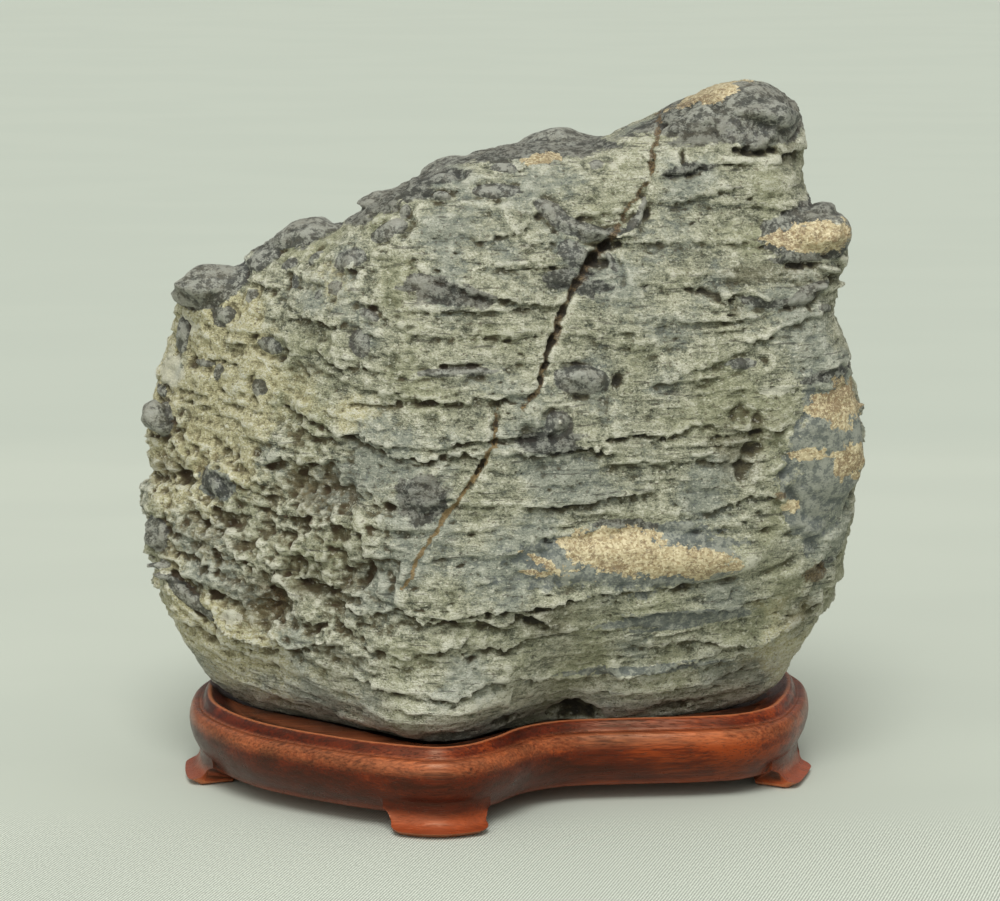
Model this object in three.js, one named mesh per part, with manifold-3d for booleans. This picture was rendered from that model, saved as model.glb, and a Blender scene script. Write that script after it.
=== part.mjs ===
// A scholars' rock resting in its carved hardwood stand.
// Millimetres, +Z up, the front of the stone faces -Y. The origin is the middle of the object's box,
// on the surface that the feet stand on.
import * as THREE from 'three';
import { mergeVertices } from 'three/addons/utils/BufferGeometryUtils.js';
import Module from 'manifold-3d';

const wasm = await Module();
wasm.setup();

// ---------------------------------------------------------------- driving dimensions

const STONE = {
  size: new THREE.Vector3(179.6, 94, 165),   // width, depth and height of the stone
  bottom: 13,          // its lowest point, inside the stand
  core: new THREE.Vector3(0, 0, 92),         // the point that its surface is measured from
  detail: 14,          // subdivisions of the ball that it is shaped from
  crispness: 11,       // how sharp the corners between its faces are
  seatGap: 0.5,        // clearance all round the stone in its seat
};

const STAND = {
  bodyBottom: 4.5,     // underside of the body above the table
  rimHeight: 21.5,     // top of the rim
  floorHeight: 14,     // floor of the pocket
  steps: 88,           // facets round the body
};

const FOOT = {
  toeReach: 1.3,       // how far a toe's edge stands out past the bulge of the body
  toeHeight: 2.3,      // height of that edge
  heel: 1.4,           // where the toe touches the table, in from the bulge
  flare: 5,            // how much wider each side is where the foot meets the body
  corner: 3,           // how far the toe's corners are rounded back
  join: 4.4,           // where the scooped top meets the body, in from the bulge
  top: 9.4,            // height of that line
  back: 15,            // the back of the foot, in from the bulge
};

const COLOURS = { stone: 0x86867a, wood: 0x6e3320 };

// ---------------------------------------------------------------- small helpers

// A closed smooth curve through hand-placed points of a plane.
function closedCurve(points) {
  const knots = points.map(([u, v]) => new THREE.Vector3(u, v, 0));
  return new THREE.CatmullRomCurve3(knots, true, 'centripetal');
}

// The same curve as a radius for each angle about the plane's origin.
function radiusByAngle(points) {
  const samples = closedCurve(points).getPoints(600).slice(0, -1);
  const polar = samples.map((p) => [Math.atan2(p.y, p.x), Math.hypot(p.x, p.y)]);
  polar.sort((a, b) => a[0] - b[0]);
  return (angle) => {
    const above = polar.findIndex(([a]) => a > angle);
    const next = polar[above < 0 ? 0 : above];
    const last = polar[(above < 1 ? polar.length : above) - 1];
    const span = THREE.MathUtils.euclideanModulo(next[0] - last[0], 2 * Math.PI);
    const part = THREE.MathUtils.euclideanModulo(angle - last[0], 2 * Math.PI) / span;
    return last[1] + (next[1] - last[1]) * part;
  };
}

// Unit vector from an azimuth (0 is +X, 90 is +Y) and an elevation, in degrees.
function facing(azimuth, elevation) {
  const polar = THREE.MathUtils.degToRad(90 - elevation);
  const turn = THREE.MathUtils.degToRad(azimuth);
  return new THREE.Vector3(Math.sin(polar) * Math.cos(turn), Math.sin(polar) * Math.sin(turn), Math.cos(polar));
}

// Moves every vertex of a geometry by a function of its position.
function warp(geometry, move) {
  const place = geometry.attributes.position;
  const vertex = new THREE.Vector3();
  for (let i = 0; i < place.count; i += 1) {
    vertex.fromBufferAttribute(place, i);
    move(vertex);
    place.setXYZ(i, vertex.x, vertex.y, vertex.z);
  }
  return geometry;
}

// Keeps only the positions and shares the vertices that meet.
function welded(geometry) {
  geometry.deleteAttribute('normal');
  geometry.deleteAttribute('uv');
  return mergeVertices(geometry, 1e-4);
}

function toSolid(geometry) {
  const closed = welded(geometry);
  return new wasm.Manifold(new wasm.Mesh({
    numProp: 3,
    vertProperties: new Float32Array(closed.attributes.position.array),
    triVerts: new Uint32Array(closed.index.array),
  }));
}

function toGeometry(solid) {
  const mesh = solid.getMesh();
  const geometry = new THREE.BufferGeometry();
  geometry.setAttribute('position', new THREE.BufferAttribute(mesh.vertProperties, 3));
  geometry.setIndex(new THREE.BufferAttribute(mesh.triVerts, 1));
  return geometry;
}

// ---------------------------------------------------------------- the stone

// Its outline seen from the front, as [x, z] from the core, clockwise from the lower left.
const FRONT_OUTLINE = [
  [-68, -78], [-78, -64], [-84, -50], [-86, -36], [-87, -22], [-87, -6], [-85, 10], [-82, 24],
  [-80, 35], [-66, 39], [-54, 45.5], [-38, 51], [-18, 64.5], [6, 72], [24, 72], [40, 79],
  [58, 86], [70, 84], [75, 75], [71.5, 67], [76, 54], [82, 42], [81, 28], [87, 14],
  [89, -2], [88, -18], [86, -32], [84, -46], [77, -60], [68, -76], [40, -81], [0, -80], [-40, -81],
];

// Its outline seen from above at half height, as [x, y] from the core.
const PLAN_OUTLINE = [
  [-97, 10], [-82, -9], [-54, -28], [-32, -43], [-16, -50], [0, -48], [30, -40], [62, -33],
  [88, -24], [99, -6], [96, 18], [76, 40], [30, 47], [-20, 50], [-70, 46], [-94, 30],
];

// Flat faces that trim the two outlines: azimuth and elevation of the outward side, and distance.
const FACES = {
  upperFront: { azimuth: -82, elevation: 22, distance: 51 },
  upperLeftFront: { azimuth: -136, elevation: 10, distance: 55 },
  upperBack: { azimuth: 88, elevation: 24, distance: 53 },
  backSlopeOfTop: { azimuth: 130, elevation: 52, distance: 66 },
  lowerBack: { azimuth: 92, elevation: -24, distance: 66 },
  lowerRightFront: { azimuth: -66, elevation: -24, distance: 59 },
  lowerLeftFront: { azimuth: -128, elevation: -30, distance: 73 },
};

// Knobs and hollows: a place on the surface, how far each reaches across and up, and its push.
const KNOBS = {
  upperLeftSlab: { at: [-78, 2, 125], across: 14, up: 6, push: [-9, -1, 2] },
  leftSlopeSlab: { at: [-50, 4, 139], across: 8, up: 6, push: [-3, -1, 2.5] },
  leftKnob: { at: [-87, 4, 90], across: 7, up: 6, push: [-7, -1, 0] },
  lowerLeftKnob: { at: [-86, 4, 61], across: 7, up: 7, push: [-7, -1, 0] },
  lowerLeftLedge: { at: [-78, -4, 47], across: 12, up: 6, push: [-2, -3, 0] },
  crown: { at: [58, -8, 176], across: 20, up: 10, push: [0, -4, 3] },
  rightNodule: { at: [79, -14, 140], across: 12, up: 7, push: [6, -5, 1] },
  rightPatch: { at: [88, -14, 92], across: 16, up: 14, push: [2, -2, 0] },
  frontLens: { at: [38, -38, 62], across: 28, up: 8, push: [1, -3, 0] },
  rightUndercut: { at: [46, -26, 24], across: 36, up: 17, push: [0, 4, 0] },
  frontNotch: { at: [15, -24, 17], across: 13, up: 22, push: [0, 12, 0] },
  ridgeHeel: { at: [-16, -36, 18], across: 15, up: 16, push: [0, -8, 0] },
};

function stoneGeometry() {
  const frontRadius = radiusByAngle(FRONT_OUTLINE);
  const planRadius = radiusByAngle(PLAN_OUTLINE);
  const faces = Object.values(FACES).map(({ azimuth, elevation, distance }) => ({
    out: facing(azimuth, elevation),
    distance,
  }));

  // Distance from the core to the surface: the two outlines and the faces, with rounded corners.
  function reach(direction) {
    const { x, y, z } = direction;
    const ratios = [
      Math.hypot(x, z) / frontRadius(Math.atan2(z, x)),
      Math.hypot(x, y) / planRadius(Math.atan2(y, x)),
      ...faces.map(({ out, distance }) => Math.max(0, direction.dot(out)) / distance),
    ];
    const sum = ratios.reduce((total, ratio) => total + ratio ** STONE.crispness, 0);
    return sum ** (-1 / STONE.crispness);
  }

  const ball = welded(new THREE.IcosahedronGeometry(1, STONE.detail));
  warp(ball, (vertex) => {
    vertex.normalize();
    vertex.multiplyScalar(reach(vertex)).add(STONE.core);
  });
  for (const { at, across, up, push } of Object.values(KNOBS)) {
    warp(ball, (vertex) => {
      const side = Math.hypot(vertex.x - at[0], vertex.y - at[1]) / across;
      const rise = (vertex.z - at[2]) / up;
      const share = Math.exp(-side * side - rise * rise);
      vertex.add(new THREE.Vector3(...push).multiplyScalar(share));
    });
  }

  // Brought to the stone's real size, with its lowest point in the seat.
  ball.computeBoundingBox();
  const size = ball.boundingBox.getSize(new THREE.Vector3());
  const middle = ball.boundingBox.getCenter(new THREE.Vector3());
  return warp(ball, (vertex) => {
    vertex.sub(middle).divide(size).multiply(STONE.size);
    vertex.z += STONE.size.z / 2 + STONE.bottom;
  });
}

// The stone grown by the seat's clearance, as the tool that cuts the seat.
function seatCutter(stone) {
  return warp(stone.clone(), (vertex) => {
    const out = vertex.clone().sub(STONE.core);
    vertex.addScaledVector(out, STONE.seatGap / out.length());
  });
}

// ---------------------------------------------------------------- the stand

// The body's outline at its widest, as [x, y], from the front lobe round to the right.
const BODY_OUTLINE = [
  [-14.5, -53.2], [-5, -50], [3.5, -41], [9, -33], [17, -28], [30, -26], [50, -24], [62, -21],
  [71.5, -13], [76.5, -1], [79.4, 14], [79, 30], [72, 44], [58, 52], [36, 53.2], [4, 49],
  [-30, 53.2], [-55, 52.2], [-70, 43], [-78, 26], [-79.4, 9], [-76.3, -8], [-63.5, -27.5],
  [-41, -43.5], [-26, -50.5],
];

// The moulding: how far in from the outline, and height, from the underside up and over the rim.
const MOULDING = [
  [5.5, STAND.bodyBottom], [5.2, 5.6], [2.6, 9], [0.6, 13], [0, 17], [0.6, 19.2], [1.8, 20.2], [2.6, 20.3],
  [3, STAND.rimHeight - 0.1], [5.3, STAND.rimHeight], [8, 18], [11, STAND.floorHeight + 0.6],
];

// Where each foot stands on the outline, and half of its width on the table.
const FEET = {
  front: { near: [-13.8, -53], halfWidth: 13 },
  right: { near: [78, -1], halfWidth: 10.8 },
  backRight: { near: [58, 52], halfWidth: 11.4 },
  backLeft: { near: [-56, 51.5], halfWidth: 11.4 },
  left: { near: [-79, 3], halfWidth: 11 },
};

const outline = closedCurve(BODY_OUTLINE);
const outlineLength = outline.getLength();

// A point in from the outline by a distance, at a share of the way round.
function inFromOutline(share, inset, z) {
  const turn = THREE.MathUtils.euclideanModulo(share, 1);
  const tangent = outline.getTangentAt(turn);
  const inward = new THREE.Vector3(-tangent.y, tangent.x, 0).normalize();
  return outline.getPointAt(turn).addScaledVector(inward, inset).setZ(z);
}

// The share of the way round that is nearest to a point.
function shareNear([x, y]) {
  const target = new THREE.Vector3(x, y, 0);
  const shares = Array.from({ length: 720 }, (_, i) => i / 720);
  const away = (share) => outline.getPointAt(share).distanceTo(target);
  return shares.reduce((best, share) => (away(share) < away(best) ? share : best));
}

// The body: a turned profile whose circle is bent to the outline. The profile's radius counts in
// from the outline, and the flat floor and underside close on the middle.
function bodyGeometry() {
  const middle = new THREE.Vector2(0, 6);
  const ring = 100;
  const deepest = MOULDING.at(-1)[0];
  const profile = [
    new THREE.Vector2(0, STAND.bodyBottom),
    ...MOULDING.map(([inset, z]) => new THREE.Vector2(ring - inset, z)),
    new THREE.Vector2(ring / 2, STAND.floorHeight),
    new THREE.Vector2(0, STAND.floorHeight),
  ];
  const lathe = welded(new THREE.LatheGeometry(profile, STAND.steps));
  return warp(lathe, (vertex) => {
    const radius = Math.hypot(vertex.x, vertex.z);
    const height = vertex.y;
    const share = Math.atan2(-vertex.z, vertex.x) / (2 * Math.PI);
    const edge = inFromOutline(share, Math.min(ring - radius, deepest), height);
    const spread = Math.min(1, radius / (ring - deepest));
    vertex.set(
      middle.x + (edge.x - middle.x) * spread,
      middle.y + (edge.y - middle.y) * spread,
      height,
    );
  });
}

// A foot: its section, from the toe's thin edge up the scooped top and down its back, follows the
// outline, its sides spread towards the body and the corners of its toe are rounded.
function footGeometry(share, footing) {
  const section = new THREE.Shape();
  section.moveTo(FOOT.heel, 0);
  section.lineTo(-FOOT.toeReach, FOOT.toeHeight);
  section.quadraticCurveTo(FOOT.join * 0.55, FOOT.toeHeight * 1.3, FOOT.join, FOOT.top);
  section.lineTo(FOOT.back, FOOT.top);
  section.lineTo(FOOT.back - FOOT.heel, 0);
  section.closePath();
  const block = new THREE.ExtrudeGeometry(section, {
    depth: 2, steps: 8, bevelEnabled: false, curveSegments: 6,
  });
  return warp(block, (vertex) => {
    const across = vertex.z - 1;
    const halfWidth = footing + FOOT.flare * (vertex.y / FOOT.top);
    const along = across * halfWidth / outlineLength;
    const toe = Math.max(0, 1 - (vertex.x + FOOT.toeReach) / (FOOT.join + FOOT.toeReach));
    const inset = vertex.x + FOOT.corner * toe * across ** 4;
    vertex.copy(inFromOutline(share + along, inset, vertex.y));
  });
}

function standGeometry(stone) {
  let solid = toSolid(bodyGeometry());
  for (const { near, halfWidth } of Object.values(FEET)) {
    solid = solid.add(toSolid(footGeometry(shareNear(near), halfWidth)));
  }
  return toGeometry(solid.subtract(toSolid(seatCutter(stone))));
}

// ---------------------------------------------------------------- the whole object

const stone = stoneGeometry();

const stoneMesh = new THREE.Mesh(
  stone,
  new THREE.MeshStandardMaterial({ color: COLOURS.stone, roughness: 0.85, metalness: 0 }),
);
stoneMesh.name = 'stone';

const standMesh = new THREE.Mesh(
  standGeometry(stone),
  new THREE.MeshStandardMaterial({ color: COLOURS.wood, roughness: 0.4, metalness: 0 }),
);
standMesh.name = 'stand';

const group = new THREE.Group();
group.add(stoneMesh, standMesh);

export default group;
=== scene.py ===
"""A grey-green scholar's rock of bedded schist, seated in its carved rosewood stand."""
import logging
import math
from dataclasses import dataclass, field
from enum import Enum
from itertools import product
from typing import Any, Iterable, Sequence, Union

import bmesh
import bpy
import numpy as np
from mathutils import Matrix, Vector, noise as lumps
from mathutils.bvhtree import BVHTree


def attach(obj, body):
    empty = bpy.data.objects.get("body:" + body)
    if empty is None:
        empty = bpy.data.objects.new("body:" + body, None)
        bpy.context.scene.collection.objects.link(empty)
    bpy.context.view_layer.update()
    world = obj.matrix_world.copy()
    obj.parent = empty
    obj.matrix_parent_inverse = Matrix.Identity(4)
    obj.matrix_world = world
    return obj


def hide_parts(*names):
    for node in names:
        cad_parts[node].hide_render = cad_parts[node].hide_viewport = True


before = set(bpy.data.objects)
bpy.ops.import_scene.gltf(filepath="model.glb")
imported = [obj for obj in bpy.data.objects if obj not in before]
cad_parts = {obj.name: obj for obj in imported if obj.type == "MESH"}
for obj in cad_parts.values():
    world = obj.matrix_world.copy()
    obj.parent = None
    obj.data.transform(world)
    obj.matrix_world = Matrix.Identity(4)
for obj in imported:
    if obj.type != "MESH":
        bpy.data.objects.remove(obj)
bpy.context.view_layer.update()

MM = 0.001
LOG = logging.getLogger("scholars_rock")

Colour = tuple[float, float, float, float]


# ---------------------------------------------------------------- small tools

def paint(red: int, green: int, blue: int) -> Colour:
    """A screen colour, 0 to 255, as the linear colour that shaders take."""
    def linear(part: float) -> float:
        """One part of the colour, made linear."""
        return part / 12.92 if part <= 0.04045 else ((part + 0.055) / 1.055) ** 2.4
    return (linear(red / 255), linear(green / 255), linear(blue / 255), 1.0)


def ease(low: float, high: float, value: np.ndarray) -> np.ndarray:
    """A smooth step.

    Args:
        low: Where the step is still 0; it may lie above high.
        high: Where the step reaches 1.
        value: The numbers to place on the step.

    Returns:
        The height of the step at each number, from 0 to 1.
    """
    share = np.clip((value - low) / (high - low), 0.0, 1.0)
    return share * share * (3.0 - 2.0 * share)


def uprightness(normals: np.ndarray) -> np.ndarray:
    """How upright a surface is, from 0.4 where it lies flat to 1 where it stands."""
    return 0.4 + 0.6 * np.sqrt(np.clip(1 - normals[:, 2] ** 2, 0, 1))


def mesh_of(name: str, block: bmesh.types.BMesh) -> bpy.types.Mesh:
    """A new mesh with a bmesh's shape; the bmesh is used up."""
    mesh = bpy.data.meshes.new(name)
    block.to_mesh(mesh)
    block.free()
    return mesh


def piece_of(name: str, mesh: bpy.types.Mesh) -> bpy.types.Object:
    """Puts a mesh in the scene as an object at the origin."""
    made = bpy.data.objects.new(name, mesh)
    bpy.context.scene.collection.objects.link(made)
    return made


def worked(mesh: bpy.types.Mesh, *tools: tuple[str, dict[str, Any]]) -> bpy.types.Mesh:
    """Runs modifiers over a mesh and keeps the result.

    Args:
        mesh: The mesh to work on; it is used up.
        tools: Each modifier's type and its settings, in order.

    Returns:
        The finished mesh.
    """
    holder = piece_of("work", mesh)
    for kind, settings in tools:
        modifier = holder.modifiers.new(kind.lower(), kind)
        for key, value in settings.items():
            setattr(modifier, key, value)
    graph = bpy.context.evaluated_depsgraph_get()
    made = bpy.data.meshes.new_from_object(holder.evaluated_get(graph), depsgraph=graph)
    bpy.data.objects.remove(holder)
    bpy.data.meshes.remove(mesh)
    return made


class Noise:
    """Seeded gradient noise, worked on whole arrays of points."""

    def __init__(self, seed: int) -> None:
        """Draws the noise's slopes from a seed."""
        draw = np.random.default_rng(seed)
        self.order = np.tile(draw.permutation(256), 2)
        slopes = draw.normal(size=(256, 3))
        self.slopes = (slopes / np.linalg.norm(slopes, axis=1, keepdims=True)).astype(np.float32)

    def _key(self, cell: np.ndarray) -> np.ndarray:
        """The table entry of each grid cell."""
        cell = cell & 255
        return self.order[self.order[self.order[cell[:, 0]] + cell[:, 1]] + cell[:, 2]]

    def _layer(self, places: np.ndarray) -> np.ndarray:
        """One octave of noise, from about -1 to 1."""
        base = np.floor(places)
        part = (places - base).astype(np.float32)
        cell = base.astype(np.int64)
        fade = part * part * part * (part * (part * 6 - 15) + 10)
        total = np.zeros(len(places), np.float32)
        for corner in product((0, 1), repeat=3):
            share = np.ones(len(places), np.float32)
            away = np.zeros(len(places), np.float32)
            slope = self.slopes[self._key(cell + np.array(corner))]
            for axis, step in enumerate(corner):
                share = share * (fade[:, axis] if step else 1 - fade[:, axis])
                away = away + slope[:, axis] * (part[:, axis] - step)
            total += share * away
        return total * 1.6

    def at(self, points: np.ndarray, size: Union[float, Sequence[float]], octaves: int = 1) -> np.ndarray:
        """Noise at each point.

        Args:
            points: The points, in millimetres.
            size: The usual size of a lump, in millimetres, the same all round or along each axis.
            octaves: How many finer layers are added, each half the size and half the height.

        Returns:
            One number for each point, from about -1 to 1.
        """
        places = points / np.asarray(size, float)
        return sum(self._layer(places * 2 ** k + 31.7 * k) * 0.5 ** k for k in range(octaves))


class Skin:
    """A mesh's points as an array in millimetres, ready for carving."""

    def __init__(self, mesh: bpy.types.Mesh) -> None:
        """Reads the points and edges."""
        self.mesh = mesh
        count = len(mesh.vertices)
        flat = np.empty(count * 3, np.float32)
        mesh.vertices.foreach_get("co", flat)
        self.points = flat.reshape(-1, 3).astype(float) / MM
        ends = np.empty(len(mesh.edges) * 2, np.int32)
        mesh.edges.foreach_get("vertices", ends)
        self.ends = ends.reshape(-1, 2)
        self.degree = np.maximum(np.bincount(ends, minlength=count), 1)

    def normals(self) -> np.ndarray:
        """The outward direction at each point."""
        flat = np.empty(len(self.points) * 3, np.float32)
        self.mesh.vertex_normals.foreach_get("vector", flat)
        return flat.reshape(-1, 3).astype(float)

    def blurred(self, values: np.ndarray, rounds: int) -> np.ndarray:
        """Evens numbers out along the mesh's edges.

        Args:
            values: One number for each point.
            rounds: How many times each point takes half of its neighbours' mean.

        Returns:
            The evened numbers.
        """
        first, second = self.ends[:, 0], self.ends[:, 1]
        count = len(values)
        for _ in range(rounds):
            total = np.bincount(first, values[second], count) + np.bincount(second, values[first], count)
            values = 0.5 * values + 0.5 * total / self.degree
        return values

    def relief(self, rounds: int) -> np.ndarray:
        """How far each point stands out of its evened surroundings, in millimetres."""
        evened = np.column_stack([self.blurred(self.points[:, axis], rounds) for axis in range(3)])
        return np.einsum("ij,ij->i", self.points - evened, self.normals())

    def shelter(self, reach: float = 9.0, looks: int = 22) -> np.ndarray:
        """How closed in each point is, found by looking out along even directions.

        Args:
            reach: How far a look goes, in millimetres.
            looks: How many directions there are, all round.

        Returns:
            A number for each point, from 0 in the open to 1.
        """
        self.mesh.calc_loop_triangles()
        corners = np.empty(len(self.mesh.loop_triangles) * 3, np.int32)
        self.mesh.loop_triangles.foreach_get("vertices", corners)
        tree = BVHTree.FromPolygons(self.points.tolist(), corners.reshape(-1, 3).tolist(), all_triangles=True)
        turns = np.arange(looks) + 0.5
        rise = 1 - 2 * turns / looks
        swing = turns * math.pi * (3 - math.sqrt(5))
        level = np.sqrt(1 - rise ** 2)
        ways = np.column_stack((np.cos(swing) * level, np.sin(swing) * level, rise))
        normals = self.normals()
        starts = self.points + normals * 0.25
        total, most = np.zeros(len(starts)), np.zeros(len(starts))
        for way in ways:
            facing = normals @ way
            target = Vector(way)
            for number in np.flatnonzero(facing > 0.15).tolist():
                gap = tree.ray_cast(starts[number], target, reach)[3]
                if gap is not None:
                    total[number] += facing[number] * (1 - 0.6 * gap / reach)
            most += np.where(facing > 0.15, facing, 0)
        return total / np.maximum(most, 0.1)

    def save(self) -> None:
        """Writes the points back to the mesh."""
        self.mesh.vertices.foreach_set("co", (self.points * MM).astype(np.float32).ravel())
        self.mesh.update()

    def keep(self, name: str, values: np.ndarray) -> None:
        """Stores one number for each point under a name that a finish can read."""
        store = self.mesh.attributes.new(name, "FLOAT", "POINT")
        store.data.foreach_set("value", np.ascontiguousarray(values, np.float32))


# ---------------------------------------------------------------- shader writing

class Reading:
    """One socket of a finish, used in sums like a number."""

    def __init__(self, bench: "Bench", socket: bpy.types.NodeSocket) -> None:
        """Holds the socket and the bench its sums are made on."""
        self.bench = bench
        self.socket = socket

    def _sum(self, operation: str, *parts: "Number", clamp: bool = False) -> "Reading":
        """Adds one Math node."""
        return self.bench.node("ShaderNodeMath", {"operation": operation, "use_clamp": clamp},
                               dict(enumerate(parts)))

    def __add__(self, other: "Number") -> "Reading":
        """self + other"""
        return self._sum("ADD", self, other)

    def __mul__(self, other: "Number") -> "Reading":
        """self * other"""
        return self._sum("MULTIPLY", self, other)

    def __sub__(self, other: "Number") -> "Reading":
        """self - other"""
        return self._sum("SUBTRACT", self, other)

    def __rsub__(self, other: "Number") -> "Reading":
        """other - self"""
        return self._sum("SUBTRACT", other, self)

    __radd__ = __add__
    __rmul__ = __mul__

    def most(self, other: "Number") -> "Reading":
        """The larger of the two."""
        return self._sum("MAXIMUM", self, other)

    def held(self) -> "Reading":
        """The same number, kept from 0 to 1."""
        return self._sum("ADD", self, 0.0, clamp=True)

    def sine(self) -> "Reading":
        """Its sine."""
        return self._sum("SINE", self)

    def step(self, low: float, high: float) -> "Reading":
        """A smooth step from 0 at low to 1 at high; low may lie above high."""
        turned = low > high
        made = self.bench.node(
            "ShaderNodeMapRange", {"interpolation_type": "SMOOTHSTEP"},
            {"Value": self, "From Min": min(low, high), "From Max": max(low, high)})
        return 1 - made if turned else made


Number = Union[Reading, float, int]
Shade = Union[Reading, Colour]


class Bench:
    """Builds a tree of nodes."""

    def __init__(self, tree: bpy.types.NodeTree) -> None:
        """Takes the tree to build in."""
        self.tree = tree

    def feed(self, socket: bpy.types.NodeSocket, value: Any) -> None:
        """Links a reading to a socket, or sets the socket's own value."""
        if isinstance(value, Reading):
            self.tree.links.new(value.socket, socket)
        else:
            socket.default_value = value

    def node(self, kind: str, settings: dict[str, Any] | None = None,
             inputs: dict[int | str, Any] | None = None, out: int | str = 0) -> Reading:
        """Adds any node.

        Args:
            kind: The node's type.
            settings: Its own settings; "stops" sets a ramp's places and colours.
            inputs: The values or readings of its sockets.
            out: The output that is wanted.

        Returns:
            A reading of that output.
        """
        made = self.tree.nodes.new(kind)
        for key, value in (settings or {}).items():
            if key == "stops":
                self._stops(made.color_ramp, value)
            else:
                setattr(made, key, value)
        for key, value in (inputs or {}).items():
            self.feed(made.inputs[key], value)
        return Reading(self, made.outputs[out])

    @staticmethod
    def _stops(ramp: bpy.types.ColorRamp, stops: Sequence[tuple[float, Colour]]) -> None:
        """Sets a ramp's stops in order."""
        while len(ramp.elements) < len(stops):
            ramp.elements.new(1.0)
        for element, (place, colour) in zip(ramp.elements, stops):
            element.position = place
            element.color = colour

    def mix(self, share: Number, under: Shade, over: Shade) -> Reading:
        """Lays one colour over another.

        Args:
            share: How much of the upper colour shows.
            under: The colour beneath.
            over: The colour on top.

        Returns:
            The mixed colour.
        """
        return self.node("ShaderNodeMix", {"data_type": "RGBA", "blend_type": "MIX", "clamp_factor": True},
                         {0: share, 6: under, 7: over}, 2)


class Finish(Bench):
    """Builds the material of one finish."""

    def __init__(self, name: str) -> None:
        """Starts a material with its surface shader."""
        self.material = bpy.data.materials.new(name)
        self.material.use_nodes = True
        super().__init__(self.material.node_tree)
        self.shader = next(n for n in self.tree.nodes if n.type == "BSDF_PRINCIPLED")
        place = self.node("ShaderNodeTexCoord", out="Object")
        self.place = self.node("ShaderNodeVectorMath", {"operation": "SCALE"}, {0: place, "Scale": 1 / MM})

    def stretched(self, size: Sequence[float]) -> Reading:
        """Object coordinates in lumps of a size in millimetres along each axis."""
        return self.node("ShaderNodeVectorMath", {"operation": "MULTIPLY"},
                         {0: self.place, 1: tuple(1 / part for part in size)})

    def noise(self, size: float | Sequence[float], detail: float = 2.0, rough: float = 0.5,
              shift: float = 0.0) -> Reading:
        """Cloudy noise, from about 0.2 to 0.8.

        Args:
            size: A lump's size in millimetres, all round or along each axis.
            detail: How many finer layers it has.
            rough: How strong the finer layers are.
            shift: Moves the pattern, so that two finishes differ.

        Returns:
            The noise.
        """
        sizes = (size, size, size) if isinstance(size, (int, float)) else size
        where = self.stretched(sizes)
        if shift:
            where = self.node("ShaderNodeVectorMath", {"operation": "ADD"}, {0: where, 1: (shift,) * 3})
        return self.node("ShaderNodeTexNoise", None,
                         {"Vector": where, "Scale": 1.0, "Detail": detail, "Roughness": rough})

    def cells(self, size: Sequence[float]) -> Reading:
        """A random colour for each cell of a size in millimetres."""
        return self.node("ShaderNodeTexVoronoi", {"feature": "F1"},
                         {"Vector": self.stretched(size), "Scale": 1.0}, "Color")

    def axis(self, name: str) -> Reading:
        """The place along one axis, in millimetres."""
        return self.node("ShaderNodeSeparateXYZ", None, {0: self.place}, name)

    def mark(self, name: str) -> Reading:
        """The number stored on the mesh under a name."""
        return self.node("ShaderNodeAttribute", {"attribute_name": name}, out="Fac")

    def ramp(self, value: Reading, stops: Sequence[tuple[float, Colour]]) -> Reading:
        """A colour by a number."""
        return self.node("ShaderNodeValToRGB", {"stops": stops}, {"Fac": value}, "Color")

    def raise_by(self, height: Reading, lift: float, strength: float = 1.0) -> None:
        """Feeds a height, lift millimetres tall, to the shader as relief."""
        bump = self.node("ShaderNodeBump", None,
                         {"Height": height, "Distance": lift * MM, "Strength": strength}, "Normal")
        self.feed(self.shader.inputs["Normal"], bump)

    def finish(self, **inputs: Any) -> bpy.types.Material:
        """Sets the shader's sockets, named with _ for a space, and hands over the material."""
        for key, value in inputs.items():
            self.feed(self.shader.inputs[key.replace("_", " ")], value)
        return self.material


# ---------------------------------------------------------------- what the rock is made of

class Stain(Enum):
    """What a patch of the rock's surface is coloured by; each is stored as its own mark."""

    SKIN = "skin"      # dark grey mineral
    SLATE = "slate"    # smooth blue-grey rind
    TAN = "tan"        # sugary golden quartz
    CREAM = "cream"    # pale yellow weathering
    RUST = "rust"      # iron in cracks and cavities
    OLIVE = "olive"    # brown-green dirt in hollows
    WHITE = "white"    # bleached lime


@dataclass(frozen=True)
class Pebble:
    """A hard lump, lens or slab held in the schist."""

    x: float
    z: float
    half: tuple[float, float, float]    # half length, depth and height, mm
    proud: float                        # how far it stands out, mm
    dip: float = 0.0                    # degrees, rising to the right
    y: float | None = None              # its own place in depth, where it isn't on the front
    yaw: float | None = None            # degrees it is turned round, where it isn't on the front
    rough: float = 0.24                 # how lumpy and chipped it is
    skin: bool = True                   # whether it is dark and smooth
    taper: float | None = None          # how much slimmer its left end is; left to chance where not given


@dataclass(frozen=True)
class Hollow:
    """A cavity in the front, and what stains it."""

    x: float
    z: float
    half: tuple[float, float]    # half width and height, mm
    depth: float
    stain: Stain = Stain.OLIVE


@dataclass(frozen=True)
class Patch:
    """A stained part of the surface, as an egg-shaped space that the surface passes through."""

    x: float
    z: float
    half: tuple[float, float]
    stain: Stain
    dip: float = 0.0
    y: float | None = None
    reach: float = 14.0


@dataclass(frozen=True)
class Ledge:
    """A bed's broken lower edge, drawn across the front."""

    line: tuple[tuple[float, float], ...]    # x and z from left to right, mm
    lift: float = 1.3
    fall: float = 1.4


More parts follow.
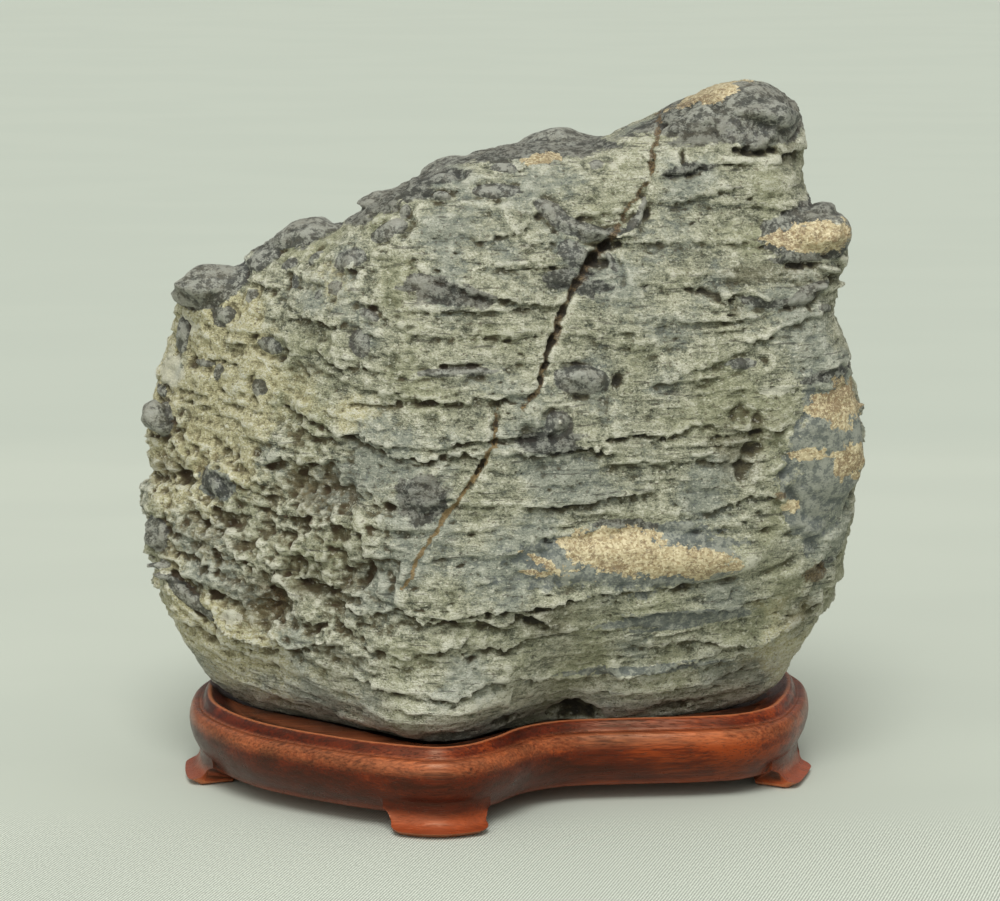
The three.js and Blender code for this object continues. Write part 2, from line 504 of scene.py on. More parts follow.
@dataclass(frozen=True)
class Beds:
    """One scale of natural bedding."""

    thick: float     # a bed's usual thickness, mm
    lift: float      # how far its lower lip stands out, mm
    broken: float    # how far its broken plates stand out or back, mm
    run: float       # how long a lip usually is, mm
    seed: int
    lowest: float = -60.0    # the beds start here, below the rock, mm
    span: float = 320.0      # and are enough for this height, mm
    plates: int = 4096       # how many plates differ before they repeat

    def relief(self, height: np.ndarray, points: np.ndarray) -> tuple[np.ndarray, np.ndarray]:
        """Steps the surface out at each bed's lower lip.

        Args:
            height: The height of each point in the bedding, in millimetres.
            points: The points.

        Returns:
            How far each point moves out, and how far it sags, in millimetres.
        """
        draw = np.random.default_rng(self.seed)
        grain = Noise(self.seed)
        count = int(self.span / self.thick)
        edges = np.cumsum(self.thick * draw.uniform(0.4, 1.6, count)) + self.lowest
        bed = np.clip(np.searchsorted(edges, height), 1, count - 2)
        share = np.clip((height - edges[bed - 1]) / (edges[bed] - edges[bed - 1]), 0, 1)
        strength = draw.uniform(0.2, 1.0, count)

        def lens(layer: np.ndarray) -> np.ndarray:
            """How strongly a bed's lip shows at each point."""
            places = np.column_stack((points[:, 0] / self.run, points[:, 1] / self.run, layer * 7.31))
            return ease(-0.2, 0.4, grain.at(places, 1.0)) * strength[layer]

        own = lens(bed)
        groove = ease(0.68, 0.96, share) * lens(bed + 1)
        slant = draw.uniform(-0.7, 0.7, count)[bed]
        along = (points[:, 0] + slant * points[:, 1]) / (self.run * draw.uniform(0.3, 0.9, count)[bed])
        along += 0.3 * grain.at(points, self.run * 0.3) + bed * 3.7
        plate = np.floor(along).astype(int)
        offsets = np.clip(draw.normal(0, 0.5, self.plates), -0.3, 1.0)
        end = ease(0.0, 0.12, along - plate)
        here, before = (offsets[(number * 31 + bed * 17) % self.plates] for number in (plate, plate - 1))
        stand = before + (here - before) * end
        sag = self.lift * own * 0.6 * ease(0.4, 0.0, share) + 0.3 * self.broken * ease(0.3, 0.0, share)
        out = self.lift * own * ((1 - share) ** 2.2 - 0.3) - 0.5 * self.lift * groove + self.broken * stand
        return out, sag


PEBBLES = (
    # the slabs and lumps along the top left
    Pebble(-72, 126.5, (12.5, 11, 5.4), 0, 8, y=3, yaw=0, rough=0.17, taper=0.35),
    Pebble(-48.5, 140, (9.5, 9, 3.2), 0, 14, y=-1, yaw=0, rough=0.15, taper=0.3),
    Pebble(-58, 133.5, (4.8, 5, 3.4), 0, 12, y=-3, yaw=0, rough=0.3),
    Pebble(-61, 125.5, (1.9, 1.6, 1.7), 1.0), Pebble(-68, 120, (3.8, 2.6, 2.3), 1.3, 6),
    Pebble(-56, 114.5, (4.3, 2.6, 2.0), 1.5, -6), Pebble(-36.5, 137, (4.6, 3.0, 2.8), 1.2, 14, rough=0.4),
    Pebble(-27, 144.5, (4.8, 2.8, 2.2), 1.4, 26, taper=0.5),
    Pebble(-39.5, 130, (2.2, 2.0, 1.9), 1.0, rough=0.35), Pebble(-43.5, 128, (1.4, 1.4, 1.3), 0.8),
    Pebble(-31.5, 124.5, (2.7, 1.6, 1.1), 0.9, -22),
    Pebble(-33.5, 117.5, (2.8, 2.4, 3.2), 1.3, 20, rough=0.35),
    Pebble(-44.5, 120, (6.2, 3.2, 2.8), 0.9, -26, rough=0.4, skin=False),
    Pebble(-58.5, 104, (2.9, 2.2, 2.5), 1.0, rough=0.35), Pebble(-69.5, 106, (2.0, 1.8, 2.2), 0.8),
    Pebble(-80, 113, (3.2, 3.4, 4.6), 2.2, rough=0.4), Pebble(-51.5, 134, (2.8, 2.2, 1.9), 0.9, 20),
    Pebble(-50, 130, (1.3, 1.8, 2.3), 0.7, 12), Pebble(-45, 136.5, (2.6, 2.0, 1.6), 0.9, 30),
    Pebble(-18.5, 133, (3.6, 2.4, 2.2), 0.8, rough=0.35), Pebble(-14, 152.5, (2.2, 1.6, 1.3), 0.9),
    Pebble(-14, 156.5, (3.6, 2.4, 1.7), 1.0, 8), Pebble(1, 159, (3.3, 2.4, 1.5), 1.0, -4),
    Pebble(23, 159, (1.8, 1.5, 1.4), 0.8), Pebble(0, 153.5, (6.2, 2.6, 1.9), 0.8, -3, rough=0.35),
    Pebble(-23, 149, (1.2, 1.4, 2.0), 0.8), Pebble(14, 162.5, (11, 9, 3.0), 0, 2, y=4, yaw=0, rough=0.35),
    Pebble(-30, 148.5, (6.5, 6, 2.0), 0, 20, y=-2, yaw=0, rough=0.35),
    Pebble(-13, 157, (7.5, 6, 2.2), 0, 14, y=-2, yaw=0, rough=0.35),
    # the crown and the right side
    Pebble(63.5, 169.8, (10.2, 9, 7.0), 0, -8, y=-9, yaw=0, rough=0.24, taper=-0.1),
    Pebble(56, 166.5, (4.6, 3.6, 3.0), 1.0, -30, rough=0.4),
    Pebble(64, 165, (5.0, 3.0, 2.6), 2.2, 24, rough=0.4),
    Pebble(48, 170, (5.0, 4.0, 3.2), 0.6, 24, rough=0.35),
    Pebble(40, 168, (3.0, 4.0, 2.4), 0.6, rough=0.35),
    Pebble(74, 141.5, (13.4, 10, 5.8), 0, 3, y=-15, yaw=12, rough=0.08, taper=0.7),
    Pebble(56, 130, (8.5, 4.0, 2.2), 1.3, -8, rough=0.45, skin=False),
    Pebble(65, 129.5, (9.5, 4.4, 2.2), 1.8, -4, rough=0.5, skin=False),
    Pebble(63, 127, (6.5, 3.6, 1.6), 1.2, -6, rough=0.4),
    Pebble(73, 127, (4.5, 3.6, 1.5), 1.2, 8, rough=0.4),
    Pebble(76, 129.5, (5.5, 5.0, 1.2), 2.4, 12, rough=0.4),
    Pebble(81, 133, (4.4, 5.0, 1.0), 3.0, -14, rough=0.4, skin=False),
    Pebble(81.5, 128, (4.8, 5.0, 1.0), 3.0, 8, rough=0.4, skin=False),
    Pebble(79.5, 123.5, (4.0, 4.0, 1.0), 2.2, -8, rough=0.4),
    Pebble(79, 89, (14.5, 11, 20.5), 1.4, 12, rough=0.07, skin=False, taper=0.0),
    Pebble(79, 50, (2.6, 3.0, 3.8), 1.8, 20, rough=0.2, skin=False),
    # the middle
    Pebble(12, 149, (4.2, 2.8, 2.0), 1.5, -28, rough=0.3),
    Pebble(16, 145.5, (4.6, 3.0, 2.1), 2.2, -30, rough=0.3),
    Pebble(21, 143.6, (4.6, 3.2, 1.9), 2.8, -12, rough=0.3),
    Pebble(27, 143.2, (4.4, 3.0, 1.3), 2.4, 6, rough=0.3),
    Pebble(32, 145.5, (3.4, 2.6, 1.1), 1.6, 45, rough=0.3),
    Pebble(34, 149, (2.8, 2.2, 0.9), 1.0, 72, rough=0.3),
    Pebble(18, 138.5, (4.4, 3.2, 2.9), 1.3, -35, rough=0.3), Pebble(27, 136, (1.0, 1.6, 3.2), 1.0, 24),
    Pebble(19.5, 109.2, (6.6, 3.4, 3.2), 2.4, -4, rough=0.16, taper=0.5),
    Pebble(14, 99, (3.3, 3.2, 3.0), 2.2, rough=0.14, taper=0.0), Pebble(58, 112, (4.0, 2.0, 1.3), 0.9, 2),
    Pebble(-9, 112, (10, 2.0, 1.1), 0.5, 1, rough=0.4),
    Pebble(34, 65, (42, 9, 8.4), 1.3, 0, rough=0.07, skin=False, taper=0.0),
    # the left edge
    Pebble(-86, 92.5, (4.2, 4.4, 4.8), 0, 24, y=5, yaw=0, rough=0.2, taper=-0.15),
    Pebble(-86, 63, (4.8, 5.0, 4.4), 0, -30, y=5, yaw=0, rough=0.26),
    Pebble(-85, 56, (4.4, 1.3, 1.0), 0, 4, y=-1, yaw=0),
    Pebble(-84, 53.5, (3.6, 1.3, 0.9), 0, -10, y=-3, yaw=0),
    Pebble(-70, 79, (6.2, 3.4, 3.4), 1.4, -12, rough=0.3, taper=-0.6),
    Pebble(-62, 77, (8.0, 2.4, 2.2), 0.5, -8, rough=0.4, skin=False),
    Pebble(-77, 48, (10, 7.0, 2.4), 1.4, -28, rough=0.35),
    Pebble(-79, 44, (8, 6.0, 1.8), 1.2, -34, rough=0.35, skin=False),
    Pebble(-73, 41, (3.2, 2.5, 2.0), 1.0, -10, skin=False),
)

HOLLOWS = (
    Hollow(-56, 51, (5.5, 6.5), 5.0, Stain.RUST), Hollow(-44, 83, (12, 6.0), 3.0),
    Hollow(-79, 79, (4.6, 2.4), 3.0), Hollow(-26, 80, (1.7, 1.7), 2.6), Hollow(-71, 51, (2.4, 1.5), 2.6),
    Hollow(-35, 62, (5.5, 3.6), 2.6), Hollow(58, 100, (3.4, 2.4), 2.0), Hollow(52, 93, (2.6, 2.0), 1.6),
    Hollow(61, 91, (2.6, 2.6), 2.2), Hollow(69, 84, (2.0, 1.5), 2.4), Hollow(72, 80, (3.0, 1.6), 2.0),
    Hollow(12, 71, (1.9, 1.0), 2.0), Hollow(28.5, 109, (1.8, 2.2), 2.0), Hollow(7, 97, (3.8, 3.0), 2.4),
    Hollow(23, 137, (2.4, 3.2), 3.6, Stain.RUST), Hollow(25, 140.6, (6.0, 1.2), 2.6),
    Hollow(19, 20.5, (6.5, 3.2), 5.0), Hollow(-3, 54, (0.7, 2.2), 1.6), Hollow(-7, 42, (1.6, 1.1), 1.6),
    Hollow(44, 160, (0.8, 2.8), 2.0), Hollow(57, 125, (2.4, 3.0), 1.2), Hollow(64, 162, (11, 1.7), 2.6),
    Hollow(-74, 70, (3.0, 2.0), 1.8), Hollow(-66, 70, (2.6, 2.2), 1.6), Hollow(-50, 62, (4.0, 3.0), 1.8),
    Hollow(-84, 78, (3.0, 3.0), 2.0), Hollow(72, 134.8, (5.0, 1.1), 2.4), Hollow(-46, 58, (6.0, 4.0), 2.6),
    Hollow(-12, 19.5, (9, 2.2), 2.2), Hollow(44, 21, (8, 2.0), 2.2), Hollow(-52, 22, (8, 2.0), 2.2),
    Hollow(71, 160, (4.0, 5.0), 2.4), Hollow(2, 21.5, (5, 1.8), 2.4), Hollow(62, 96, (2.4, 4.6), 2.2),
    Hollow(59, 86, (2.6, 4.0), 2.6), Hollow(8, 51, (3.0, 1.8), 1.6),
)

PATCHES = (
    Patch(-72, 100, (30, 30), Stain.CREAM, y=2, reach=60),
    Patch(-72, 38, (24, 14), Stain.CREAM, -20, y=0, reach=50),
    Patch(-66, 120, (14, 8), Stain.CREAM, y=0, reach=30), Patch(72, 34, (9, 12), Stain.CREAM, 30, reach=22),
    Patch(-78, 116, (3.4, 2.6), Stain.WHITE, y=4, reach=30),
    Patch(-83, 104, (3.6, 5), Stain.WHITE, y=4, reach=30), Patch(67, 105, (4.5, 1.3), Stain.WHITE),
    Patch(-67, 46, (2.8, 1.8), Stain.WHITE), Patch(-52, 140, (14, 5), Stain.SKIN, 12, y=4, reach=20),
    Patch(-26, 151, (22, 4), Stain.SKIN, 22, y=-8, reach=24),
    Patch(6, 163, (26, 4.5), Stain.SKIN, 6, y=-2, reach=30),
    Patch(56, 171, (24, 8), Stain.SKIN, 4, y=-8, reach=26), Patch(-18, 82, (7, 6), Stain.SKIN, 10),
    Patch(45, 157.5, (7, 1.6), Stain.SKIN, 8), Patch(18, 132, (9, 3), Stain.SKIN, -10),
    Patch(-13, 130, (10, 3), Stain.SKIN, -10), Patch(12, 95, (8, 3.4), Stain.SKIN),
    Patch(80, 108, (8, 1.6), Stain.SKIN, 8, reach=22), Patch(31, 73.5, (7, 1.4), Stain.SKIN, -4),
    Patch(76, 147.5, (11, 2.2), Stain.SKIN, 8), Patch(74, 136.6, (10, 1.5), Stain.SKIN, 2),
    Patch(79, 88, (15.5, 21), Stain.SLATE, 12, y=-20, reach=13), Patch(30, 66, (36, 8.6), Stain.SLATE, 0),
    Patch(58, 166, (5, 3), Stain.SLATE, -20), Patch(-70, 79, (5, 4), Stain.SLATE),
    Patch(45, 48, (20, 3), Stain.SLATE), Patch(36, 34, (24, 1.6), Stain.SLATE),
    Patch(83, 101, (9, 5.6), Stain.TAN, 0, y=-20, reach=14),
    Patch(85, 86, (5, 5), Stain.TAN, 0, y=-18, reach=12), Patch(75, 89, (5, 1.8), Stain.TAN, 0),
    Patch(71, 76, (2.6, 1.8), Stain.TAN), Patch(28, 67.5, (13, 6.0), Stain.TAN, -4),
    Patch(44, 63.8, (15, 4.2), Stain.TAN, -6), Patch(10, 65.5, (5.5, 1.0), Stain.TAN, -30),
    Patch(9, 62.8, (5, 0.8), Stain.TAN, -12), Patch(77.5, 141.3, (9.4, 3.9), Stain.TAN, 3),
    Patch(68, 141, (5, 1.9), Stain.TAN, 8), Patch(48, 175.5, (12, 3.2), Stain.TAN, 12, y=-6, reach=16),
    Patch(10, 160, (5, 1.2), Stain.TAN, 8), Patch(78, 57, (3, 3), Stain.RUST),
    Patch(-46, 74, (1.0, 1.6), Stain.RUST), Patch(68, 79, (1.6, 1.2), Stain.RUST),
    Patch(-40, 40, (3.0, 6.0), Stain.OLIVE), Patch(75, 45, (6, 7), Stain.OLIVE),
    Patch(60, 30, (9, 5), Stain.OLIVE, 20), Patch(-44, 81, (13, 7), Stain.OLIVE),
    Patch(-44, 58, (10, 7), Stain.OLIVE), Patch(-58, 52, (11, 9), Stain.OLIVE),
    Patch(-72, 66, (10, 5), Stain.OLIVE, y=0, reach=30), Patch(-82, 81, (7, 4), Stain.OLIVE, y=0, reach=20),
    Patch(10, 50, (9, 5), Stain.OLIVE), Patch(58, 92, (9, 9), Stain.OLIVE),
    Patch(60, 133, (16, 3), Stain.OLIVE),
)

LEDGES = (
    Ledge(((-39, 98), (-33, 95), (-24, 92), (-18, 92), (-10, 93), (-4, 92)), 1.8, 2.2),
    Ledge(((-56, 86), (-52, 89), (-48, 88), (-40, 88)), 1.6, 2.0),
    Ledge(((-61, 75), (-54, 75), (-44, 75), (-38, 73))),
    Ledge(((-38, 55), (-32, 53), (-23, 56), (-19, 52), (-10, 53), (0, 51), (5, 53), (13, 50)), 1.8, 1.4),
    Ledge(((-70, 44), (-60, 42), (-53, 41), (-42, 43)), 1.4, 1.0),
    Ledge(((-31, 44), (-22, 43), (-15, 45), (-7, 48)), 1.5, 1.0),
    Ledge(((-36, 36), (-24, 33), (-15, 32), (0, 36)), 1.6, 1.0),
    Ledge(((5, 92), (13, 92), (20, 94), (27, 92)), 1.7, 1.6),
    Ledge(((2, 66), (6, 63), (15, 60), (26, 58), (37, 57), (48, 57.5), (58, 59), (68, 63), (77, 68)), 0.9,
          1.9),
    Ledge(((35, 41), (46, 42), (62, 40), (75, 45)), 1.5, 1.6),
    Ledge(((0, 36), (12, 34), (24, 33), (30, 35)), 1.6, 1.2),
    Ledge(((28, 35), (40, 35), (54, 35), (66, 38)), 1.5, 1.4),
    Ledge(((-5, 44), (4, 45), (10, 47), (19, 48)), 1.4, 1.2),
    Ledge(((30, 50), (42, 51), (56, 50), (66, 53)), 1.3, 1.3),
    Ledge(((20, 28), (36, 28), (50, 28), (60, 31)), 1.2, 1.0),
    Ledge(((36, 94), (41, 96), (48, 98), (53, 97)), 1.0, 1.2),
    Ledge(((49, 76), (64, 80), (70, 77)), 0.9, 1.4), Ledge(((17, 77), (28, 77)), 0.8, 1.0),
    Ledge(((-19, 135), (-13, 133), (-7, 130), (0, 129), (4, 128), (15, 127)), 1.5, 1.4),
    Ledge(((-5, 143), (5, 144), (10, 149)), 1.2, 1.0), Ledge(((38, 156), (47, 158), (60, 159)), 1.0, 1.2),
    Ledge(((41, 150), (48, 152), (57, 153)), 1.0, 1.2), Ledge(((34, 142), (42, 141)), 1.0, 0.8),
    Ledge(((45, 131), (53, 128), (64, 127), (73, 129)), 1.4, 1.6), Ledge(((-5, 136), (6, 135)), 0.8, 0.8),
    Ledge(((-5, 120), (1, 120), (9, 121)), 0.8, 0.9), Ledge(((34, 123), (41, 123)), 0.8, 0.8),
    Ledge(((59, 118), (67, 120), (79, 123)), 1.0, 1.0), Ledge(((42, 110), (54, 113)), 0.7, 0.8),
    Ledge(((-50, 125), (-45, 123), (-38, 122)), 1.2, 1.0),
    Ledge(((-43, 115), (-39, 112), (-29, 112)), 1.3, 1.2),
    Ledge(((-19, 106), (-9, 105), (0, 106)), 1.0, 1.4),
    Ledge(((-38, 103), (-29, 104), (-24, 104)), 0.9, 1.0),
    Ledge(((12, 121), (25, 119), (38, 121)), 0.5, 0.6), Ledge(((46, 163), (60, 163), (72, 162)), 1.6, 1.6),
)

# The crack down the front, in two runs: x, z, half width and depth, mm.
CRACKS = (
    ((39, 169, 0.5, 1.6), (37, 162, 0.6, 1.6), (36, 156, 0.4, 1.0), (32, 150, 0.3, 0.8), (27, 143, 0.6, 2.0),
     (24, 139, 0.9, 3.0), (22, 137, 1.0, 3.0), (19, 133, 0.8, 2.4), (16, 128, 0.6, 2.6), (14, 123, 0.5, 2.6),
     (13, 119, 0.7, 3.0), (11, 115, 0.7, 3.0), (9, 107, 0.5, 2.4), (5, 103, 0.15, 0.6)),
    ((0, 105, 0.15, 1.0), (-1, 96, 0.35, 1.6), (-4, 90, 0.6, 3.0), (-8, 84, 0.35, 1.6), (-14, 76, 0.4, 1.2),
     (-20, 67, 0.4, 1.0), (-23, 59, 0.2, 0.6)),
)


@dataclass
class Stone:
    """The rock, carved from the CAD stone's own surface."""

    coarse: float = 0.6            # spacing of the points while the ledges are cut, mm
    fine: float = 0.5              # spacing while the grain is cut, mm
    triangles: int = 190_000
    seat: float = 23.0             # about this height and below, it only ever moves inwards
    stray_count: int = 46          # pebbles and lenses round the sides and back
    stray_seed: int = 41
    beds: tuple[Beds, ...] = (Beds(8.5, 2.0, 1.0, 38, 5), Beds(3.8, 1.3, 0.5, 20, 6))
    plates: Beds = Beds(4.6, 1.4, 2.1, 9, 8)      # the rubble of the lower left
    leaves: Beds = Beds(1.6, 0.35, 0.22, 9, 7)
    held: list[tuple[Pebble, Matrix]] = field(default_factory=list)

    def core(self) -> bmesh.types.BMesh:
        """A merged copy of the CAD stone."""
        block = bmesh.new()
        block.from_mesh(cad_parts["stone"].data)
        bmesh.ops.remove_doubles(block, verts=block.verts[:], dist=1e-6)
        return block

    def spot(self, x: float, z: float) -> tuple[Vector, Vector]:
        """Where the front of the stone is.

        Args:
            x: Place across, in millimetres.
            z: Height, in millimetres.

        Returns:
            The point on the surface in metres, and the direction it faces.
        """
        for reach in (0.0, 2.0, 4.0, 7.0, 11.0):
            start = Vector((x - math.copysign(reach, x), -200, z)) * MM
            point, normal, _, _ = self.tree.ray_cast(start, Vector((0, 1, 0)))
            if point:
                return Vector((x * MM, point.y, z * MM)), normal
        raise ValueError(f"nothing of the stone in front at {x}, {z}")

    def set_in(self, block: bmesh.types.BMesh, pebble: Pebble, number: int) -> None:
        """Adds a pebble's own body.

        Args:
            block: The mesh that it joins.
            pebble: The pebble.
            number: Its place in the list, which varies its lumps.
        """
        if pebble.y is None:
            point, normal = self.spot(pebble.x, pebble.z)
            turn = max(-1.2, min(1.2, math.atan2(normal.x, -normal.y)))
            centre = point + normal * ((pebble.proud - pebble.half[1]) * MM)
        else:
            turn = math.radians(pebble.yaw or 0.0)
            centre = Vector((pebble.x, pebble.y, pebble.z)) * MM
        place = (Matrix.Translation(centre) @ Matrix.Rotation(turn, 4, "Z")
                 @ Matrix.Rotation(math.radians(-pebble.dip), 4, "Y")
                 @ Matrix.Diagonal((*(part * MM for part in pebble.half), 1.0)))
        fineness = 4 if max(pebble.half) > 3 else 3
        ball = bmesh.ops.create_icosphere(block, subdivisions=fineness, radius=1.0)["verts"]
        draw = np.random.default_rng(100 + number)
        taper = draw.uniform(-0.3, 0.3) if pebble.taper is None else pebble.taper
        chips = [(Vector(side).normalized(), draw.uniform(0.5, 0.85)) for side in draw.normal(size=(9, 3))]
        for vert in ball:
            wave = lumps.noise(vert.co * 1.1 + Vector((number * 3.7, 0, 0)))
            wave += 0.6 * lumps.noise(vert.co * 2.6 + Vector((0, number * 2.3, 0)))
            wave += 0.3 * lumps.noise(vert.co * 5.5 + Vector((0, 0, number * 1.9)))
            vert.co *= 1 + pebble.rough * wave * 1.6
            for side, depth in chips:
                over = vert.co.dot(side) - depth
                if over > 0:
                    vert.co -= side * over * min(0.95, 4.0 * pebble.rough)
            slim = max(0.4, 1 + taper * vert.co.x)
            vert.co.y *= slim
            vert.co.z *= slim
        bmesh.ops.transform(block, matrix=place, verts=ball)
        self.held.append((pebble, place.inverted()))

    def body(self) -> bpy.types.Mesh:
        """The CAD stone, rounded, with its pebbles set in, as one closed surface."""
        core = self.core()
        self.tree = BVHTree.FromBMesh(core)
        rounded = worked(mesh_of("stone_core", core), ("SUBSURF", {"levels": 2, "render_levels": 2}))
        block = bmesh.new()
        block.from_mesh(rounded)
        for number, pebble in enumerate(PEBBLES + self.strays()):
            self.set_in(block, pebble, number)
        block.to_mesh(rounded)
        block.free()
        return worked(rounded, ("REMESH", {"mode": "VOXEL", "voxel_size": self.coarse * MM}))

    def strays(self) -> tuple[Pebble, ...]:
        """Pebbles and lenses round the sides and back, which carry on what the front shows."""
        draw = np.random.default_rng(self.stray_seed)
        made: list[Pebble] = []
        middle = Vector((0, 0, 92)) * MM
        while len(made) < self.stray_count:
            round_angle = draw.uniform(-0.15, math.pi + 0.15)
            away = Vector((math.cos(round_angle), math.sin(round_angle), draw.uniform(-0.75, 0.75)))
            point, normal, _, _ = self.tree.ray_cast(middle, away.normalized())
            if point is None or point.z < 0.034:
                continue
            size = 1.2 + 2.6 * draw.random() ** 2
            if len(made) < 6:
                size *= 2.6
            half = (size * draw.uniform(1.2, 2.4), size, size * draw.uniform(0.5, 0.8))
            centre = point / MM - normal * (half[1] * draw.uniform(0.35, 0.6))
            made.append(Pebble(centre.x, centre.z, half, 0, draw.uniform(-12, 12), y=centre.y,
                               yaw=math.degrees(math.atan2(normal.x, -normal.y)), skin=len(made) % 5 != 0))
        return tuple(made)

    def near_pebbles(self, points: np.ndarray, skins_only: bool = False) -> tuple[np.ndarray, np.ndarray]:
        """How far each point is from the nearest pebble.

        Args:
            points: The points.
            skins_only: Whether to leave out pebbles without a dark skin.

        Returns:
            The distance from its middle in its own half sizes, and from its surface in millimetres.
        """
        near, off = np.full(len(points), 9.0), np.full(len(points), 9.0)
        for pebble, inverse in self.held:
            if skins_only and not pebble.skin:
                continue
            middle = np.array(inverse.inverted().translation) / MM
            reach = 1.4 * max(pebble.half) + 1.6
            some = np.flatnonzero((np.abs(points - middle) < reach).all(axis=1))
            turned = np.array(inverse)
            local = (points[some] * MM) @ turned[:3, :3].T + turned[:3, 3]
            far = np.linalg.norm(local, axis=1)
            near[some] = np.minimum(near[some], far)
            off[some] = np.minimum(off[some], (far - 1) * float(np.mean(sorted(pebble.half)[:2])))
        return near, off

    def bedding(self, points: np.ndarray) -> np.ndarray:
        """The height of each point in the beds, which sag in the middle and wander a little."""
        x, z = points[:, 0], points[:, 2]
        sag = 0.0042 - 0.0036 * ease(25, 120, z)
        height = z - 0.5 * sag * x * x + 0.03 * (z / 90) * x
        height += 3.0 * self.grain.at(points, (46, 46, 26)) + 1.2 * self.grain.at(points + 90, (17, 17, 9))
        return height + 0.45 * self.grain.at(points + 40, (5, 5, 4)) + 0.2 * self.grain.at(points, 1.9)

    def crack(self, points: np.ndarray, normals: np.ndarray) -> tuple[np.ndarray, np.ndarray]:
        """The crack down the front.

        Args:
            points: The points.
            normals: The directions they face.

        Returns:
            How deep each point is cut, in millimetres, and how near it is to the crack, from 0 to 1.
        """
        x = points[:, 0] + 0.9 * self.grain.at(points, 3.4) + 0.6 * self.grain.at(points + 7, 1.5)
        z = points[:, 2]
        ragged = 1 + 0.7 * self.grain.at(points + 17, (2.0, 2.0, 2.6))
        cut, close = np.zeros(len(points)), np.zeros(len(points))
        pairs = [pair for run in CRACKS for pair in zip(run, run[1:])]
        for (x0, z0, w0, d0), (x1, z1, w1, d1) in pairs:
            run = np.array((x1 - x0, z1 - z0), float)
            share = np.clip(((x - x0) * run[0] + (z - z0) * run[1]) / (run @ run), 0, 1)
            far = np.hypot(x - x0 - share * run[0], z - z0 - share * run[1])
            width, depth = w0 + share * (w1 - w0), d0 + share * (d1 - d0)
            cut = np.maximum(cut, depth * ease(1.2, 0.4, far / ((0.75 * width + 0.25) * ragged)))
            close = np.maximum(close, ease(1.7, 0.4, far / (0.8 * width + 0.3)))
        front = (normals[:, 1] < 0.35) * (points[:, 1] < 6)
        return cut * front, close * front

    def hollow_depth(self, points: np.ndarray) -> np.ndarray:
        """How far the named hollows push each point in."""
        depth = np.zeros(len(points))
        for hollow, near in self.hollows:
            warp = 0.35 * self.grain.at(points, max(1.6, hollow.half[1] * 0.8))
            depth = np.maximum(depth, hollow.depth * ease(1.2, 0.35, near(points) + warp))
        return depth

    def ledge_relief(self, points: np.ndarray) -> tuple[np.ndarray, np.ndarray]:
        """The named ledges: how far each point moves out, and how far it sags."""
        wander = 0.9 * self.grain.at(points + 13, (4.5, 4.5, 4.5)) + 0.5 * self.grain.at(points, 1.7)
        push, sag = np.zeros(len(points)), np.zeros(len(points))
        front, back = ease(2, -4, points[:, 1]), 1.25 * ease(-2, 6, points[:, 1])
        faces = ((points[:, 0], points[:, 2], front), (-6 - points[:, 0], 1.05 * points[:, 2] - 7, back))
        for ledge, (x, z, side) in product(LEDGES, faces):
            across, heights = np.array(ledge.line, float).T
            above = z - np.interp(x, across, heights) - wander
            ends = ease(-3, 2, x - across[0]) * ease(3, -2, x - across[-1]) * side
            out = np.where(above > 0, ledge.lift * np.exp(-above / 2.4), -ledge.fall * np.exp(above / 1.7))
            push += out * ends * (np.abs(above) < 9)
            sag += 0.5 * ledge.lift * ends * ease(1.6, 0.0, above) * (above > 0)
        return push, sag

    def rubble(self, points: np.ndarray) -> np.ndarray:
        """How broken the rock is at each point: most in the lower left, least on the right."""
        x, z = points[:, 0], points[:, 2]
        wander = 9 * self.grain.at(points + 300, 19)
        lower = ease(-4, -42, x + wander) * ease(100, 84, z + wander) * ease(30, 42, z)
        return np.maximum(lower, 0.4 * ease(20, -30, x + wander) * ease(26, 40, z))

    def carve(self, skin: Skin) -> None:
        """Cuts the beds, ledges, hollows and the crack."""
        points, normals = skin.points, skin.normals()
        near, off = self.near_pebbles(points)
        free = ease(1.0, 1.2, near)
        upright = uprightness(normals)
        rubble = self.rubble(points)
        push = 1.0 * self.grain.at(points, 22) + 0.7 * self.grain.at(points + 50, (11, 11, 7))
        height = self.bedding(points)
        sag = np.zeros(len(points))
        for beds, share in ((self.beds[0], 1.0), (self.beds[1], 1.0 - 0.4 * rubble), (self.plates, rubble)):
            out, droop = beds.relief(height, points)
            push += out * upright * share
            sag += droop * upright * share
        lumpy = np.abs(self.grain.at(points + 200, (7.0, 7.0, 4.6), 2))
        push += 2.0 * (0.15 + 0.85 * rubble) * (0.26 - lumpy)
        out, droop = self.ledge_relief(points)
        push += out
        sag += droop
        push -= self.hollow_depth(points)
        push *= free
        push -= 1.5 * ease(2.2, 0.9, off) * ease(-0.1, 0.5, off) * (0.55 + self.grain.at(points, 4.0))
        push -= self.crack(points, normals)[0] * (0.25 + 0.75 * free)
        self.move(skin, normals, push, sag * free)

